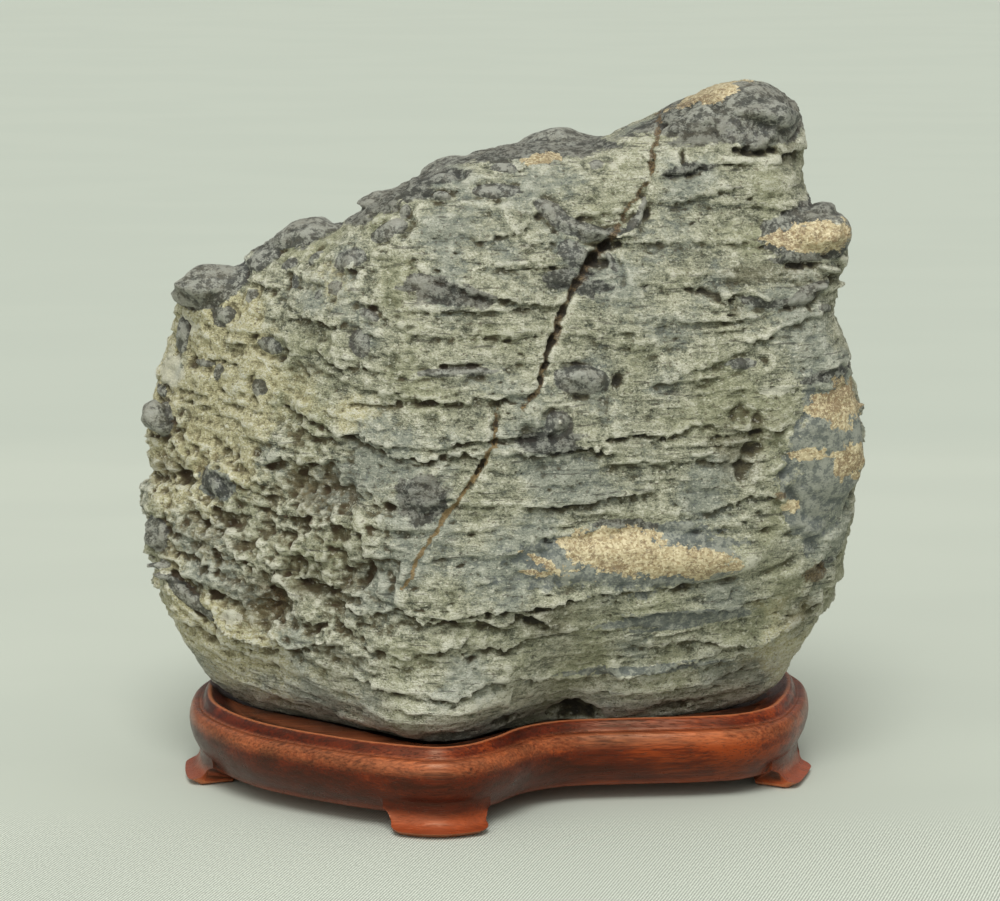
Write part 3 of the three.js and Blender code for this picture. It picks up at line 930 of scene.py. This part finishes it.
    def grind(self, skin: Skin) -> None:
        """Cuts the pits, thin leaves and grain."""
        points, normals = skin.points, skin.normals()
        smooth = 1 - ease(1.04, 1.2, self.near_pebbles(points)[0])
        crust = self.stained(points, Stain.SKIN)
        upright = uprightness(normals)
        left = ease(-6, -50, points[:, 0])
        rubble = self.rubble(points)
        out, droop = self.leaves.relief(self.bedding(points), points)
        push = out * upright * (1 - 0.5 * left)
        push += 0.32 * self.grain.at(points, (3.0, 3.0, 1.6), 2) * (1 + 0.8 * rubble)
        push += 0.7 * rubble * (0.28 - np.abs(self.grain.at(points + 240, (3.4, 3.4, 2.0), 2)))
        busy = ease(-0.3, 0.35, self.pitting.at(points, 16) + 0.35 * left)
        dashes = self.pitting.at(points + 20, (3.4, 3.4, 1.3))
        push -= 0.8 * ease(0.48, 0.78, dashes) * busy * (1 - 0.5 * left)
        holes = self.pitting.at(points + 60, (3.4, 3.4, 1.7)) + 0.3 * self.grain.at(points, 1.2)
        push -= 0.45 * left * ease(0.5, 0.78, holes) * busy
        caves = self.pitting.at(points + 150, (8.0, 8.0, 3.2)) + 0.3 * self.grain.at(points, 2.2)
        push -= (0.35 + 0.35 * rubble) * ease(0.54, 0.82, caves)
        push += 0.8 * crust * (0.26 - np.abs(self.grain.at(points + 270, (3.6, 3.6, 2.2), 2)))
        self.move(skin, normals, push * (1 - 0.5 * smooth), droop * (1 - smooth))

    def move(self, skin: Skin, normals: np.ndarray, push: np.ndarray, sag: np.ndarray) -> None:
        """Moves the surface, but never outwards where it sits in the stand.

        Args:
            skin: The surface.
            normals: The directions it faces.
            push: How far each point moves out, in millimetres.
            sag: How far each point sags, in millimetres.
        """
        clear = ease(self.seat - 5, self.seat + 4, skin.points[:, 2])
        push = clear * push + (1 - clear) * np.minimum(push - 0.8, 0.0)
        flat = normals * np.array((1.0, 1.0, 0.55))
        skin.points += flat * push[:, None]
        skin.points[:, 2] -= sag * clear
        skin.save()

    def egg(self, patch: Union[Patch, Hollow]) -> Any:
        """A measure of how far points are from a patch's or hollow's middle, in its half sizes."""
        depth, dip = 12.0, 0.0
        if isinstance(patch, Patch):
            depth, dip = patch.reach, math.radians(patch.dip)
        given = patch.y if isinstance(patch, Patch) else None
        level = self.spot(patch.x, patch.z)[0].y / MM if given is None else given
        along, up = np.array((math.cos(dip), 0, math.sin(dip))), np.array((-math.sin(dip), 0, math.cos(dip)))
        centre = np.array((patch.x, level, patch.z))

        def near(points: np.ndarray) -> np.ndarray:
            """How far each point is from the middle, in half sizes."""
            gap = points - centre
            return np.sqrt((gap @ along / patch.half[0]) ** 2 + (gap @ up / patch.half[1]) ** 2
                           + (gap[:, 1] / depth) ** 2)
        return near

    def stained(self, points: np.ndarray, stain: Stain) -> np.ndarray:
        """How much of a stain each point has, 0.5 at the patches' edges."""
        found = np.zeros(len(points))
        for number, (patch, near) in enumerate(self.patches):
            if patch.stain is stain:
                far = near(points)
                some = np.flatnonzero(far < 1.9)
                size = (patch.half[0] * 0.5, patch.reach * 0.5, patch.half[1] * 0.6)
                warp = 0.42 * self.grain.at(points[some] + 70 * number, size, 2)
                soft = 0.5 if stain in (Stain.CREAM, Stain.OLIVE) else 1.2
                found[some] = np.maximum(found[some], np.clip(0.5 + soft * (1 - far[some] + warp), 0, 1))
        return found

    def mark(self, skin: Skin) -> None:
        """Stores what colours each point."""
        points, normals = skin.points, skin.normals()
        near = self.near_pebbles(points, skins_only=True)[0]
        marks = {stain: self.stained(points, stain) for stain in Stain}
        held = np.clip(0.5 + 3.5 * (1.14 - near), 0, 1)
        marks[Stain.SKIN] = np.maximum(marks[Stain.SKIN], held)
        crack = self.crack(points, normals)[1]
        lower = ease(110, 90, points[:, 2])
        marks[Stain.RUST] = np.maximum(marks[Stain.RUST], crack)
        for hollow, reach in self.hollows:
            soft = np.clip(1.35 - reach(points), 0, 1)
            marks[hollow.stain] = np.maximum(marks[hollow.stain], 0.8 * soft)
        for stain, values in marks.items():
            skin.keep(stain.value, values)
        skin.keep("seam", crack * (0.45 + 0.55 * lower))
        skin.keep("rubble", self.rubble(points))
        skin.keep("held", held)
        skin.keep("relief", np.clip(skin.relief(6) / 0.5, -1, 1))
        skin.keep("hollow", np.clip(skin.relief(40) / 1.6, -1, 1))
        # How closed in each point is; the finish paints shade from it.
        skin.keep("shelter", skin.shelter())

    def build(self) -> bpy.types.Object:
        """Makes the whole rock."""
        self.grain, self.pitting = Noise(11), Noise(12)
        body = self.body()
        self.hollows = [(hollow, self.egg(hollow)) for hollow in HOLLOWS]
        self.patches = [(patch, self.egg(patch)) for patch in PATCHES]
        self.carve(Skin(body))
        body = worked(body, ("REMESH", {"mode": "VOXEL", "voxel_size": self.fine * MM}))
        self.grind(Skin(body))
        share = self.triangles / (2 * len(body.polygons))
        return self.dress(worked(body, ("DECIMATE", {"ratio": min(1.0, share)})))

    def dress(self, body: bpy.types.Mesh) -> bpy.types.Object:
        """Marks the carved surface and gives it its finish.

        Args:
            body: The carved surface.

        Returns:
            The finished rock.
        """
        body.name = "stone_surface"
        self.mark(Skin(body))
        body.polygons.foreach_set("use_smooth", np.ones(len(body.polygons), bool))
        rock = piece_of("rock", body)
        body.materials.clear()
        body.materials.append(Schist().make())
        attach(rock, "root")
        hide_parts("stone")
        return rock


@dataclass(frozen=True)
class Schist:
    """The rock's finish: grey-green leaves, dark skins, tan cores, cream weathering and iron."""

    light: Colour = paint(180, 178, 154)
    middle: Colour = paint(138, 139, 117)
    dark: Colour = paint(72, 74, 60)
    blue: Colour = paint(128, 136, 132)
    green: Colour = paint(140, 141, 102)
    cream: Colour = paint(190, 182, 140)
    cream_dark: Colour = paint(128, 120, 86)
    skin: Colour = paint(44, 45, 41)
    skin_light: Colour = paint(154, 155, 144)
    skin_brown: Colour = paint(86, 76, 60)
    brown: Colour = paint(66, 50, 30)
    slate: Colour = paint(84, 90, 88)
    slate_light: Colour = paint(148, 150, 138)
    tan: Colour = paint(160, 140, 102)
    tan_light: Colour = paint(216, 203, 166)
    tan_dark: Colour = paint(120, 98, 68)
    rust: Colour = paint(64, 44, 26)
    ochre: Colour = paint(150, 126, 82)
    olive: Colour = paint(78, 70, 44)
    earth: Colour = paint(106, 88, 56)
    white: Colour = paint(208, 206, 188)
    gap: Colour = paint(34, 31, 24)

    def make(self) -> bpy.types.Material:
        """Builds the material."""
        bench = Finish("schist")
        edge = bench.noise(1.7, 2, 0.75, 4.0) - 0.5
        cloud = bench.noise(14, 2, 0.55, 9.0) - 0.5
        leaf = bench.noise((4.2, 4.2, 1.1), 2, 0.75) - 0.5
        grain = bench.noise((0.52, 0.52, 0.38), 2, 0.85, 6.0) - 0.5
        flakes = bench.cells((0.62, 0.62, 0.5))
        salt = bench.node("ShaderNodeSeparateColor", None, {0: flakes}, "Green")
        relief, hollow, shelter = bench.mark("relief"), bench.mark("hollow"), bench.mark("shelter")

        height = bench.axis("Z")
        # Lower down the rock is painted lighter: painted light where little light reaches it.
        tone = 0.55 + leaf * 0.8 + grain * 1.5 + (salt - 0.5) * 0.2 + cloud * 0.5 + height.step(52, 26) * 0.2
        # Ridges are painted lighter and hollows darker: painted highlight and painted shade.
        tone = tone + relief * 0.32 + hollow * 0.16
        colour = bench.ramp(tone, ((0.14, self.dark), (0.46, self.middle), (0.78, self.light),
                                   (1.05, self.white)))
        hue = bench.noise(19, 1, 0.5, 31.0) + edge * 0.25 + leaf * 0.2
        colour = bench.mix(hue.step(0.5, 0.68) * 0.4, colour, self.green)
        colour = bench.mix(hue.step(0.5, 0.34) * 0.45, colour, self.blue)
        cream = (bench.mark("cream") + cloud * 1.3 + edge * 0.5).step(0.35, 0.72)
        # The cream is painted lighter low down and on ridges: painted light and painted highlight.
        pale = 0.5 + height.step(52, 26) * 0.22 + relief * 0.28
        cream_tone = bench.ramp(pale + grain * 1.4 + (salt - 0.5) * 0.3 + cloud * 0.5 + leaf * 0.4,
                                ((0.15, self.cream_dark), (0.6, self.cream), (0.95, self.white)))
        colour = bench.mix(cream * 0.82, colour, cream_tone)
        olive = (bench.mark("olive") + edge * 0.9 + cloud * 0.6).step(0.35, 0.95)
        colour = bench.mix(olive * 0.5, colour, self.olive)
        earth = (bench.mark("rubble") * (0.25 - hollow * 0.8 + edge * 1.6)).step(0.1, 0.7)
        colour = bench.mix(earth * 0.5, colour, self.earth)
        # Closed-in and hollow places are darkened towards olive: painted shade, with some dirt.
        shade_and_dirt = (shelter * 1.8 - relief * 0.35 - hollow * 0.3 + edge * 0.7).step(0.2, 0.95)
        colour = bench.mix(shade_and_dirt * 0.8, colour, self.olive)

        specks = bench.noise((1.1, 1.1, 0.7), 1, 0.6, 13.0).step(0.36, 0.27) * (cloud * -1.2 + 0.75).held()
        colour = bench.mix(specks * 0.65, colour, self.gap)
        lines = bench.noise((7.5, 7.5, 0.8), 2, 0.6, 17.0).step(0.4, 0.3) * (1 - cream * 0.7)
        colour = bench.mix(lines * 0.6, colour, self.gap)
        # Ridges are painted whiter: a painted highlight on the edges, with some pale dust.
        colour = bench.mix((relief + grain).step(0.45, 1.0) * 0.35, colour, self.white)
        colour = bench.mix(salt.step(0.93, 0.97) * 0.4, colour, self.white)
        colour = bench.mix(salt.step(0.035, 0.02) * 0.5, colour, self.skin_brown)
        white = (bench.mark("white") + edge * 1.1 + grain * 0.4).step(0.45, 0.65)
        colour = bench.mix(white * 0.6, colour, self.white)

        # Paler weathered patches on skins and slate, a little stronger on bulges: wear, with a little painted
        # highlight.
        highlight_and_wear = (bench.noise(2.2, 2, 0.75, 21.0) + relief * 0.1 + grain * 0.5 + cloud * 0.3).step(0.42, 0.64)
        slate = (bench.mark("slate") + edge * 1.0 + grain * 0.3 + cloud * 0.3).step(0.46, 0.62)
        slate_tone = bench.mix(highlight_and_wear * 0.8, self.slate, self.slate_light)
        colour = bench.mix(slate * 0.88, colour, slate_tone)
        skin = (bench.mark("skin") + edge * 1.0 + grain * 0.35 + cloud * 0.3).step(0.44, 0.66)
        skin_tone = bench.mix(highlight_and_wear * 0.72, self.skin, self.skin_light)
        skin_tone = bench.mix((cloud * 2.2 + edge * 1.8 + 0.2).held() * 0.5, skin_tone, self.skin_brown)
        colour = bench.mix(skin * 0.92, colour, skin_tone)

        tan = (bench.mark("tan") + edge * 1.3 + grain * 0.25).step(0.48, 0.6)
        tan_tone = bench.mix(salt, self.tan, self.tan_light)
        stain = (grain + edge + cloud * 0.8).step(0.08, -0.16)
        tan_tone = bench.mix(stain * 0.85, tan_tone, self.tan_dark)
        colour = bench.mix(tan * 0.94, colour, tan_tone)

        rust = (bench.mark("rust") + edge * 1.2 + grain * 0.5).step(0.45, 0.9)
        iron = bench.mix(grain.step(-0.1, 0.16) * 0.65, self.rust, self.ochre)
        colour = bench.mix(rust * 0.8, colour, iron)
        seam = (bench.mark("seam") + edge * 1.1).step(0.45, 0.85)
        colour = bench.mix(seam * 0.6, colour, self.ochre)
        # The most closed-in places are painted nearly black, brown in the rubble: painted shade.
        gap = (shelter * 1.5 - relief * 0.5 + edge * 0.4).step(0.62, 1.05)
        colour = bench.mix(gap * 0.8, colour, bench.mix(bench.mark("rubble") * 1.6, self.gap, self.brown))

        held = bench.mark("held")
        smooth = held.most(bench.mark("slate"))
        height = (leaf * 0.5 + grain) * (1 - smooth * 0.66) + edge * (0.3 + held * 0.5)
        bench.raise_by(height, 0.8, 1.0)
        return bench.finish(Base_Color=colour, Roughness=0.86 - slate * 0.2 - skin * 0.16 - held * 0.2,
                            Specular_IOR_Level=0.5)


# ---------------------------------------------------------------- the stand

@dataclass(frozen=True)
class Foot:
    """One scooped foot: its point of the outline, half its width on the table, and its spread above."""

    near: tuple[float, float]
    half_width: float
    flare: float = 5.0


# The body's plan, counterclockwise from the front, x and y in mm.
PLAN = (
    (-14.5, -53.2), (-5, -50), (3.5, -41), (9, -33), (17, -28), (30, -26), (50, -24), (62, -21),
    (71.5, -13), (76.5, -1), (79.4, 14), (79, 30), (72, 44), (58, 52), (36, 53.2), (4, 49),
    (-30, 53.2), (-55, 52.2), (-70, 43), (-78, 26), (-79.4, 9), (-76.3, -8), (-63.5, -27.5),
    (-41, -43.5), (-26, -50.5),
)

# The moulding's section: in from the plan, and height, mm.
SECTION = (
    (5.4, 4.5), (4.9, 5.3), (3.4, 7.0), (1.9, 9.0), (0.8, 11.3), (0.2, 13.4), (0.0, 15.0), (0.05, 15.9),
    (0.35, 17.2), (0.9, 18.3), (1.6, 18.85), (2.2, 18.9), (2.55, 18.7), (2.8, 18.62), (3.05, 18.75),
    (3.3, 19.0), (3.6, 19.6), (4.0, 20.5), (4.5, 21.15), (4.9, 21.45), (5.3, 21.5), (5.7, 21.3),
    (6.4, 20.9), (7.6, 20.0), (9.4, 19.0), (11.4, 18.5),
)


@dataclass
class Stand:
    """The carved stand: a moulded body that follows the rock, on five scooped feet."""

    around: int = 300
    pocket: float = 18.4
    toe_reach: float = 1.3
    toe_height: float = 1.6
    heel: float = 1.4
    corner: float = 4.0
    join: float = 2.1
    dish: float = 4.2
    lift: float = 1.6
    top: float = 9.4
    back: float = 11.0
    corner_from: float = 0.66    # a foot's corners start this far from its middle, as a share
    corner_run: float = 0.34     # and take up this share
    eased: float = 0.28          # how wide a foot's eased edges are, mm
    seat_gap: float = 0.4        # clearance all round the stone in its seat, mm
    plan_points: int = 1440
    feet: tuple[Foot, ...] = (
        Foot((-13.8, -53.0), 13.4, 2.6), Foot((78.0, -1.0), 10.8), Foot((58.0, 52.0), 11.4),
        Foot((-56.0, 51.5), 11.4), Foot((-79.0, 3.0), 11.0),
    )

    def outline(self) -> np.ndarray:
        """The plan as a smooth closed curve, at even steps along its length."""
        knots = np.array(PLAN)
        count = len(knots)
        found: list[np.ndarray] = []
        for i in range(count):
            a, b, c, d = (knots[(i + k) % count] for k in (-1, 0, 1, 2))
            t0 = 0.0
            t1 = t0 + math.dist(a, b) ** 0.5
            t2 = t1 + math.dist(b, c) ** 0.5
            t3 = t2 + math.dist(c, d) ** 0.5
            for t in np.linspace(t1, t2, 40, endpoint=False):
                ab = ((t1 - t) * a + (t - t0) * b) / (t1 - t0)
                bc = ((t2 - t) * b + (t - t1) * c) / (t2 - t1)
                cd = ((t3 - t) * c + (t - t2) * d) / (t3 - t2)
                abc = ((t2 - t) * ab + (t - t0) * bc) / (t2 - t0)
                bcd = ((t3 - t) * bc + (t - t1) * cd) / (t3 - t1)
                found.append(((t2 - t) * abc + (t - t1) * bcd) / (t2 - t1))
        path = np.array(found)
        loop = np.vstack((path, path[:1]))
        run = np.concatenate(([0.0], np.cumsum(np.linalg.norm(np.diff(loop, axis=0), axis=1))))
        self.length = float(run[-1])
        shares = np.linspace(0, self.length, self.plan_points, endpoint=False)
        self.plan = np.column_stack([np.interp(shares, run, loop[:, axis]) for axis in (0, 1)])
        ahead = np.roll(self.plan, -6, axis=0) - np.roll(self.plan, 6, axis=0)
        ahead /= np.linalg.norm(ahead, axis=1, keepdims=True)
        self.inward = np.column_stack((-ahead[:, 1], ahead[:, 0]))
        return self.plan

    def at(self, share: float, inset: float, height: float) -> Vector:
        """A point of the stand.

        Args:
            share: How far round the plan, from 0 to 1.
            inset: How far in from the plan, in millimetres.
            height: Height, in millimetres.

        Returns:
            The point, in metres.
        """
        place = (share % 1.0) * len(self.plan)
        low = int(place) % len(self.plan)
        high = (low + 1) % len(self.plan)
        part = place - int(place)
        spot = self.plan[low] * (1 - part) + self.plan[high] * part
        inward = self.inward[low] * (1 - part) + self.inward[high] * part
        x, y = spot + inward * inset
        return Vector((x, y, height)) * MM

    @staticmethod
    def draw_out(block: bmesh.types.BMesh, rings: Sequence[Sequence[Vector]]) -> None:
        """Draws a closed ring out through further rings and closes both ends.

        Args:
            block: The mesh that it joins.
            rings: The rings, each with as many points as the first.
        """
        start = bmesh.ops.create_circle(block, segments=len(rings[0]), radius=1.0)["verts"]
        for vert, place in zip(start, rings[0]):
            vert.co = place
        edges = list({edge for vert in start for edge in vert.link_edges})
        ends = [bmesh.ops.contextual_create(block, geom=edges)["faces"]]
        order = {vert: number for number, vert in enumerate(start)}
        for ring in rings[1:]:
            grown = bmesh.ops.extrude_edge_only(block, edges=edges)["geom"]
            verts = [item for item in grown if isinstance(item, bmesh.types.BMVert)]
            fresh = set(verts)
            following = {}
            for vert in verts:
                partners = (edge.other_vert(vert) for edge in vert.link_edges)
                following[vert] = order[next(other for other in partners if other in order)]
            for vert in verts:
                vert.co = ring[following[vert]]
            edges = [item for item in grown if isinstance(item, bmesh.types.BMEdge)
                     and all(vert in fresh for vert in item.verts)]
            order = following
        ends.append(bmesh.ops.contextual_create(block, geom=edges)["faces"])
        bmesh.ops.triangulate(block, faces=[face for end in ends for face in end])
        bmesh.ops.recalc_face_normals(block, faces=block.faces[:])

    def body(self) -> bpy.types.Mesh:
        """The moulded body with its pocket."""
        block = bmesh.new()
        shares = [number / self.around for number in range(self.around)]
        section = [*SECTION, (12.0, self.pocket)]
        rings = [[self.at(share, inset, height) for share in shares] for inset, height in section]
        self.draw_out(block, rings)
        return mesh_of("stand_body", block)

    def foot(self, foot: Foot) -> bpy.types.Mesh:
        """One foot, its section bent along the plan, with eased edges."""
        target = np.array(foot.near)
        share = float(np.argmin(np.linalg.norm(self.plan - target, axis=1))) / len(self.plan)
        scoop = []
        for t in np.linspace(0, 1, 13):
            inset = (1 - t) ** 2 * -self.toe_reach + 2 * t * (1 - t) * self.dish + t * t * self.join
            height = (1 - t) ** 2 * self.toe_height + 2 * t * (1 - t) * self.toe_height * 1.3
            scoop.append((inset, height + t * t * self.top))
        section = [(self.heel, 0.0), *scoop, (self.back, self.top), (self.back - self.heel, 0.0)]
        rings = []
        for across in np.sin(np.linspace(-math.pi / 2, math.pi / 2, 33)):
            ring = []
            turn = max(0.0, (abs(across) - self.corner_from) / self.corner_run)
            for inset, height in section:
                spread = foot.flare * (1 - math.sqrt(max(0.0, 1 - min(1.0, height / 5.0) ** 2)))
                toe = max(0.0, 1 - (inset + self.toe_reach) / (self.join + self.toe_reach))
                ease_off = 1 - math.sqrt(max(0.0, 1 - turn * turn))
                inset += self.corner * toe * ease_off
                height += self.lift * ease_off * (1 - height / self.top)
                ring.append(self.at(share + across * (foot.half_width + spread) / self.length, inset, height))
            rings.append(ring)
        block = bmesh.new()
        self.draw_out(block, rings)
        sharp = [edge for edge in block.edges if len(edge.link_faces) == 2 and edge.calc_face_angle() > 0.6]
        bmesh.ops.bevel(block, geom=sharp, offset=self.eased * MM, offset_type="OFFSET", affect="EDGES",
                        segments=2, profile=0.5, material=-1, clamp_overlap=True)
        bmesh.ops.recalc_face_normals(block, faces=block.faces[:])
        return mesh_of("stand_foot", block)

    def seat(self) -> bpy.types.Object:
        """The rock's shape, a little larger, which the seat is cut to."""
        block = bmesh.new()
        block.from_mesh(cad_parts["stone"].data)
        bmesh.ops.remove_doubles(block, verts=block.verts[:], dist=1e-6)
        middle = Vector((0, 0, 92)) * MM
        for vert in block.verts:
            away = vert.co - middle
            vert.co += away.normalized() * self.seat_gap * MM
        return piece_of("seat", mesh_of("seat", block))

    def build(self) -> bpy.types.Object:
        """Makes the whole stand."""
        self.outline()
        tools = []
        helpers = [piece_of(f"foot_{number}", self.foot(foot)) for number, foot in enumerate(self.feet)]
        for helper in helpers:
            tools.append(("BOOLEAN", {"operation": "UNION", "object": helper, "solver": "EXACT"}))
        seat = self.seat()
        helpers.append(seat)
        tools.append(("BOOLEAN", {"operation": "DIFFERENCE", "object": seat, "solver": "EXACT"}))
        mesh = worked(self.body(), *tools)
        for helper in helpers:
            bpy.data.objects.remove(helper)
        mesh.name = "stand_wood"
        skin = Skin(mesh)
        skin.keep("relief", np.clip(skin.relief(2) / 0.2, -1, 1))
        mesh.polygons.foreach_set("use_smooth", np.ones(len(mesh.polygons), bool))
        mesh.set_sharp_from_angle(angle=math.radians(38))
        stand = piece_of("carved_stand", mesh)
        mesh.materials.clear()
        mesh.materials.append(Rosewood().make())
        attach(stand, "root")
        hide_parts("stand")
        return stand


@dataclass(frozen=True)
class Rosewood:
    """The stand's finish: red-brown wood with dark streaks and open pores, under a satin polish."""

    wine: Colour = paint(50, 15, 10)
    red: Colour = paint(84, 26, 11)
    orange: Colour = paint(138, 56, 20)
    streak: Colour = paint(22, 8, 5)
    # the painted highlight of the shoulder, the rim's crest and the feet's edges
    edge: Colour = paint(192, 116, 74)
    toe: Colour = paint(164, 78, 42)

    def make(self) -> bpy.types.Material:
        """Builds the material."""
        bench = Finish("rosewood")
        warp = bench.noise((70, 16, 16), 2, 0.55) - 0.5
        along, across, height = (bench.axis(name) for name in "XYZ")
        from_heart = bench.node("ShaderNodeCombineXYZ", None,
                                {"X": (along - 30) * 0.35, "Y": across + 40, "Z": height + 4})
        heart = bench.node("ShaderNodeVectorMath", {"operation": "LENGTH"}, {0: from_heart}, "Value")
        rings = ((heart * 5.2 + warp * 40).sine() * 0.5 + 0.5)
        fibre = (bench.noise((20, 0.55, 0.55), 2, 0.7) - 0.5) * 3.0
        bands = (bench.noise((44, 3.4, 2.2), 2, 0.6, 3.0) - 0.5) * 3.0
        patch = (bench.noise((24, 16, 8), 2, 0.6, 5.0) - 0.5) * 3.0
        warm = (along * 0.003 + patch * 0.5 + bands * 0.4 + fibre * 0.34 + 0.38).held()
        colour = bench.mix(warm.step(0.0, 0.5), self.wine, self.red)
        colour = bench.mix(warm.step(0.45, 0.95), colour, self.orange)
        figure = rings * 0.3 + fibre * 0.5 - bands * 0.35 - patch * 0.45
        colour = bench.mix(figure.step(0.3, 0.8) * 0.75, colour, self.streak)
        pores = bench.noise((4.5, 0.34, 0.34), 1, 0.5, 8.0).step(0.6, 0.68)
        colour = bench.mix(pores * 0.6, colour, self.streak)
        # The body's lower sides are painted darker: painted shade where the body curves under.
        side = height.step(15.5, 9.0) * height.step(2.5, 6.0)
        colour = bench.mix(side * 0.5, colour, self.wine)
        # A band round the shoulder is painted lighter: a painted highlight of the overhead light.
        highlight_and_wear = height.step(14.2, 17.2) * height.step(19.4, 18.4)
        colour = bench.mix(highlight_and_wear * (0.27 + fibre * 0.3 + patch * 0.2).held(), colour, self.edge)
        # The feet are painted lighter orange towards the table: painted light on feet that stand in shade.
        toe_light = (0.55 + fibre * 0.25 + bands * 0.2).held()
        colour = bench.mix(height.step(6.4, 3.4) * toe_light, colour, self.toe)
        relief = bench.mark("relief")
        # Creases and hollows are painted nearly black: painted shade.
        colour = bench.mix((relief * -1.0).step(0.15, 0.8) * 0.8, colour, self.streak)
        # The rim's crest and the feet's sharp lower edges are painted light: painted highlight.
        crest = (height + fibre * 0.12).step(21.15, 21.45)
        corner = relief.step(0.6, 1.0) * height.step(4.4, 3.4)
        colour = bench.mix((corner * 0.6).most(crest * 0.55), colour, self.edge)
        wear = (bench.noise(5, 3, 0.65, 2.0) - 0.5) * 2.0
        bench.raise_by(fibre * 0.3 - pores * 0.6 + wear * 0.2, 0.1, 0.8)
        return bench.finish(Base_Color=colour, Roughness=0.32 + wear * 0.16 + pores * 0.15,
                            Specular_IOR_Level=0.45, Specular_Tint=(1.0, 0.62, 0.4, 1.0))


# ---------------------------------------------------------------- the studio

@dataclass(frozen=True)
class Cloth:
    """The floor's finish: a pale grey-green twill that shows in front and blurs away behind."""

    groove: Colour = paint(150, 155, 144)
    thread: Colour = paint(182, 187, 175)
    crown: Colour = paint(212, 216, 204)
    cloudy: Colour = paint(140, 146, 140)
    # the painted shade of the cloth far behind
    behind: Colour = paint(172, 179, 168)
    pitch: float = 0.74    # from one twill line to the next, mm

    def make(self) -> bpy.types.Material:
        """Builds the material."""
        bench = Finish("cloth")
        depth, across = bench.axis("Y"), bench.axis("X")
        turn = 2 * math.pi / self.pitch
        twill = ((across - depth * 0.29) * turn).sine() * 0.5 + 0.5
        weft = ((across + depth * 1.1) * (turn * 0.5)).sine() * 0.16
        near = depth.step(-18, -58)
        weave = (twill + weft + (bench.noise((0.5, 1.5, 1), 1, 0.5) - 0.5) * 0.9 - 0.5) * near + 0.5
        cloth = bench.ramp(weave, ((0.0, self.groove), (0.5, self.thread), (1.0, self.crown)))
        cloud = (bench.noise((160, 90, 1), 2) - 0.5).step(-0.12, 0.12)
        colour = bench.mix(cloud * 0.06, cloth, self.cloudy)
        # The cloth from about 420 mm behind is painted darker: painted shade in place of the backdrop's fold.
        colour = bench.mix(depth.step(420, 520) * 0.4, colour, self.behind)
        bench.raise_by(weave, 0.1, 0.4)
        return bench.finish(Base_Color=colour, Roughness=0.9, Specular_IOR_Level=0.15)


@dataclass
class Studio:
    """A pale cloth floor under soft light from above, and the camera."""

    distance: float = 900.0
    elevation: float = 10.5
    aim: float = 85.0
    lens: float = 129.6
    floor: float = 12.0    # metres each way
    overhead: float = 0.56
    front_box: float = 1.5
    key: float = 1.9

    def camera(self) -> None:
        """Sets the camera at its angle."""
        tilt = math.radians(self.elevation)
        data = bpy.data.cameras.new("camera")
        data.lens, data.sensor_width = self.lens, 36.0
        data.clip_start, data.clip_end = 0.05, 50.0
        made = bpy.data.objects.new("camera", data)
        away, up = self.distance * math.cos(tilt), self.distance * math.sin(tilt)
        made.location = Vector((0, -away, self.aim + up)) * MM
        made.rotation_euler = (math.pi / 2 - tilt, 0, 0)
        bpy.context.scene.collection.objects.link(made)
        bpy.context.scene.camera = made

    def cloth(self) -> None:
        """Lays the cloth floor."""
        block = bmesh.new()
        bmesh.ops.create_grid(block, x_segments=8, y_segments=8, size=self.floor)
        mesh = mesh_of("cloth_floor", block)
        floor = piece_of("cloth_floor", mesh)
        mesh.materials.append(Cloth().make())

    def lights(self) -> None:
        """Hangs a soft box overhead, a broad one in front, and a key that models the ledges."""
        world = bpy.data.worlds.new("studio")
        bpy.context.scene.world = world
        world.use_nodes = True
        bench = Bench(world.node_tree)
        back = next(n for n in world.node_tree.nodes if n.type == "BACKGROUND")
        sight = bench.node("ShaderNodeTexCoord", out="Generated")
        up = bench.node("ShaderNodeSeparateXYZ", None, {0: sight}, "Z")
        box = bench.node("ShaderNodeVectorMath", {"operation": "DOT_PRODUCT"},
                         {0: sight, 1: Vector((-0.25, -0.86, 0.45)).normalized()}, "Value")
        glow = 0.23 + up.step(0.1, 0.95) * self.overhead + box.step(0.72, 0.96) * self.front_box
        seen = bench.node("ShaderNodeLightPath", out="Is Camera Ray")
        bench.feed(back.inputs["Strength"], 1.0)
        lit = bench.mix(glow * (1 / 4), (0, 0, 0, 1), (4, 4.06, 3.9, 1))
        bench.feed(back.inputs["Color"], bench.mix(seen, lit, paint(201, 209, 197)))
        data = bpy.data.lights.new("key", "SUN")
        data.energy, data.angle = self.key, math.radians(24)
        light = bpy.data.objects.new("key", data)
        light.rotation_euler = Vector((0.03, 0.64, -0.86)).to_track_quat("-Z", "Y").to_euler()
        bpy.context.scene.collection.objects.link(light)

    def build(self) -> None:
        """Sets up the whole studio."""
        self.camera()
        self.cloth()
        self.lights()
        bpy.context.scene.view_settings.view_transform = "Standard"


def corners(box: Iterable[Vector]) -> list[list[float]]:
    """A box's corners as plain numbers."""
    return [[round(float(part), 6) for part in corner] for corner in box]


def main() -> None:
    """Builds the studio, the rock and the stand."""
    logging.basicConfig(level=logging.INFO, format="%(name)s: %(message)s")
    Studio().build()
    for maker in (Stone(), Stand()):
        piece = maker.build()
        LOG.info("%s: %d faces", piece.name, len(piece.data.polygons))


if __name__ == "__main__":
    main()
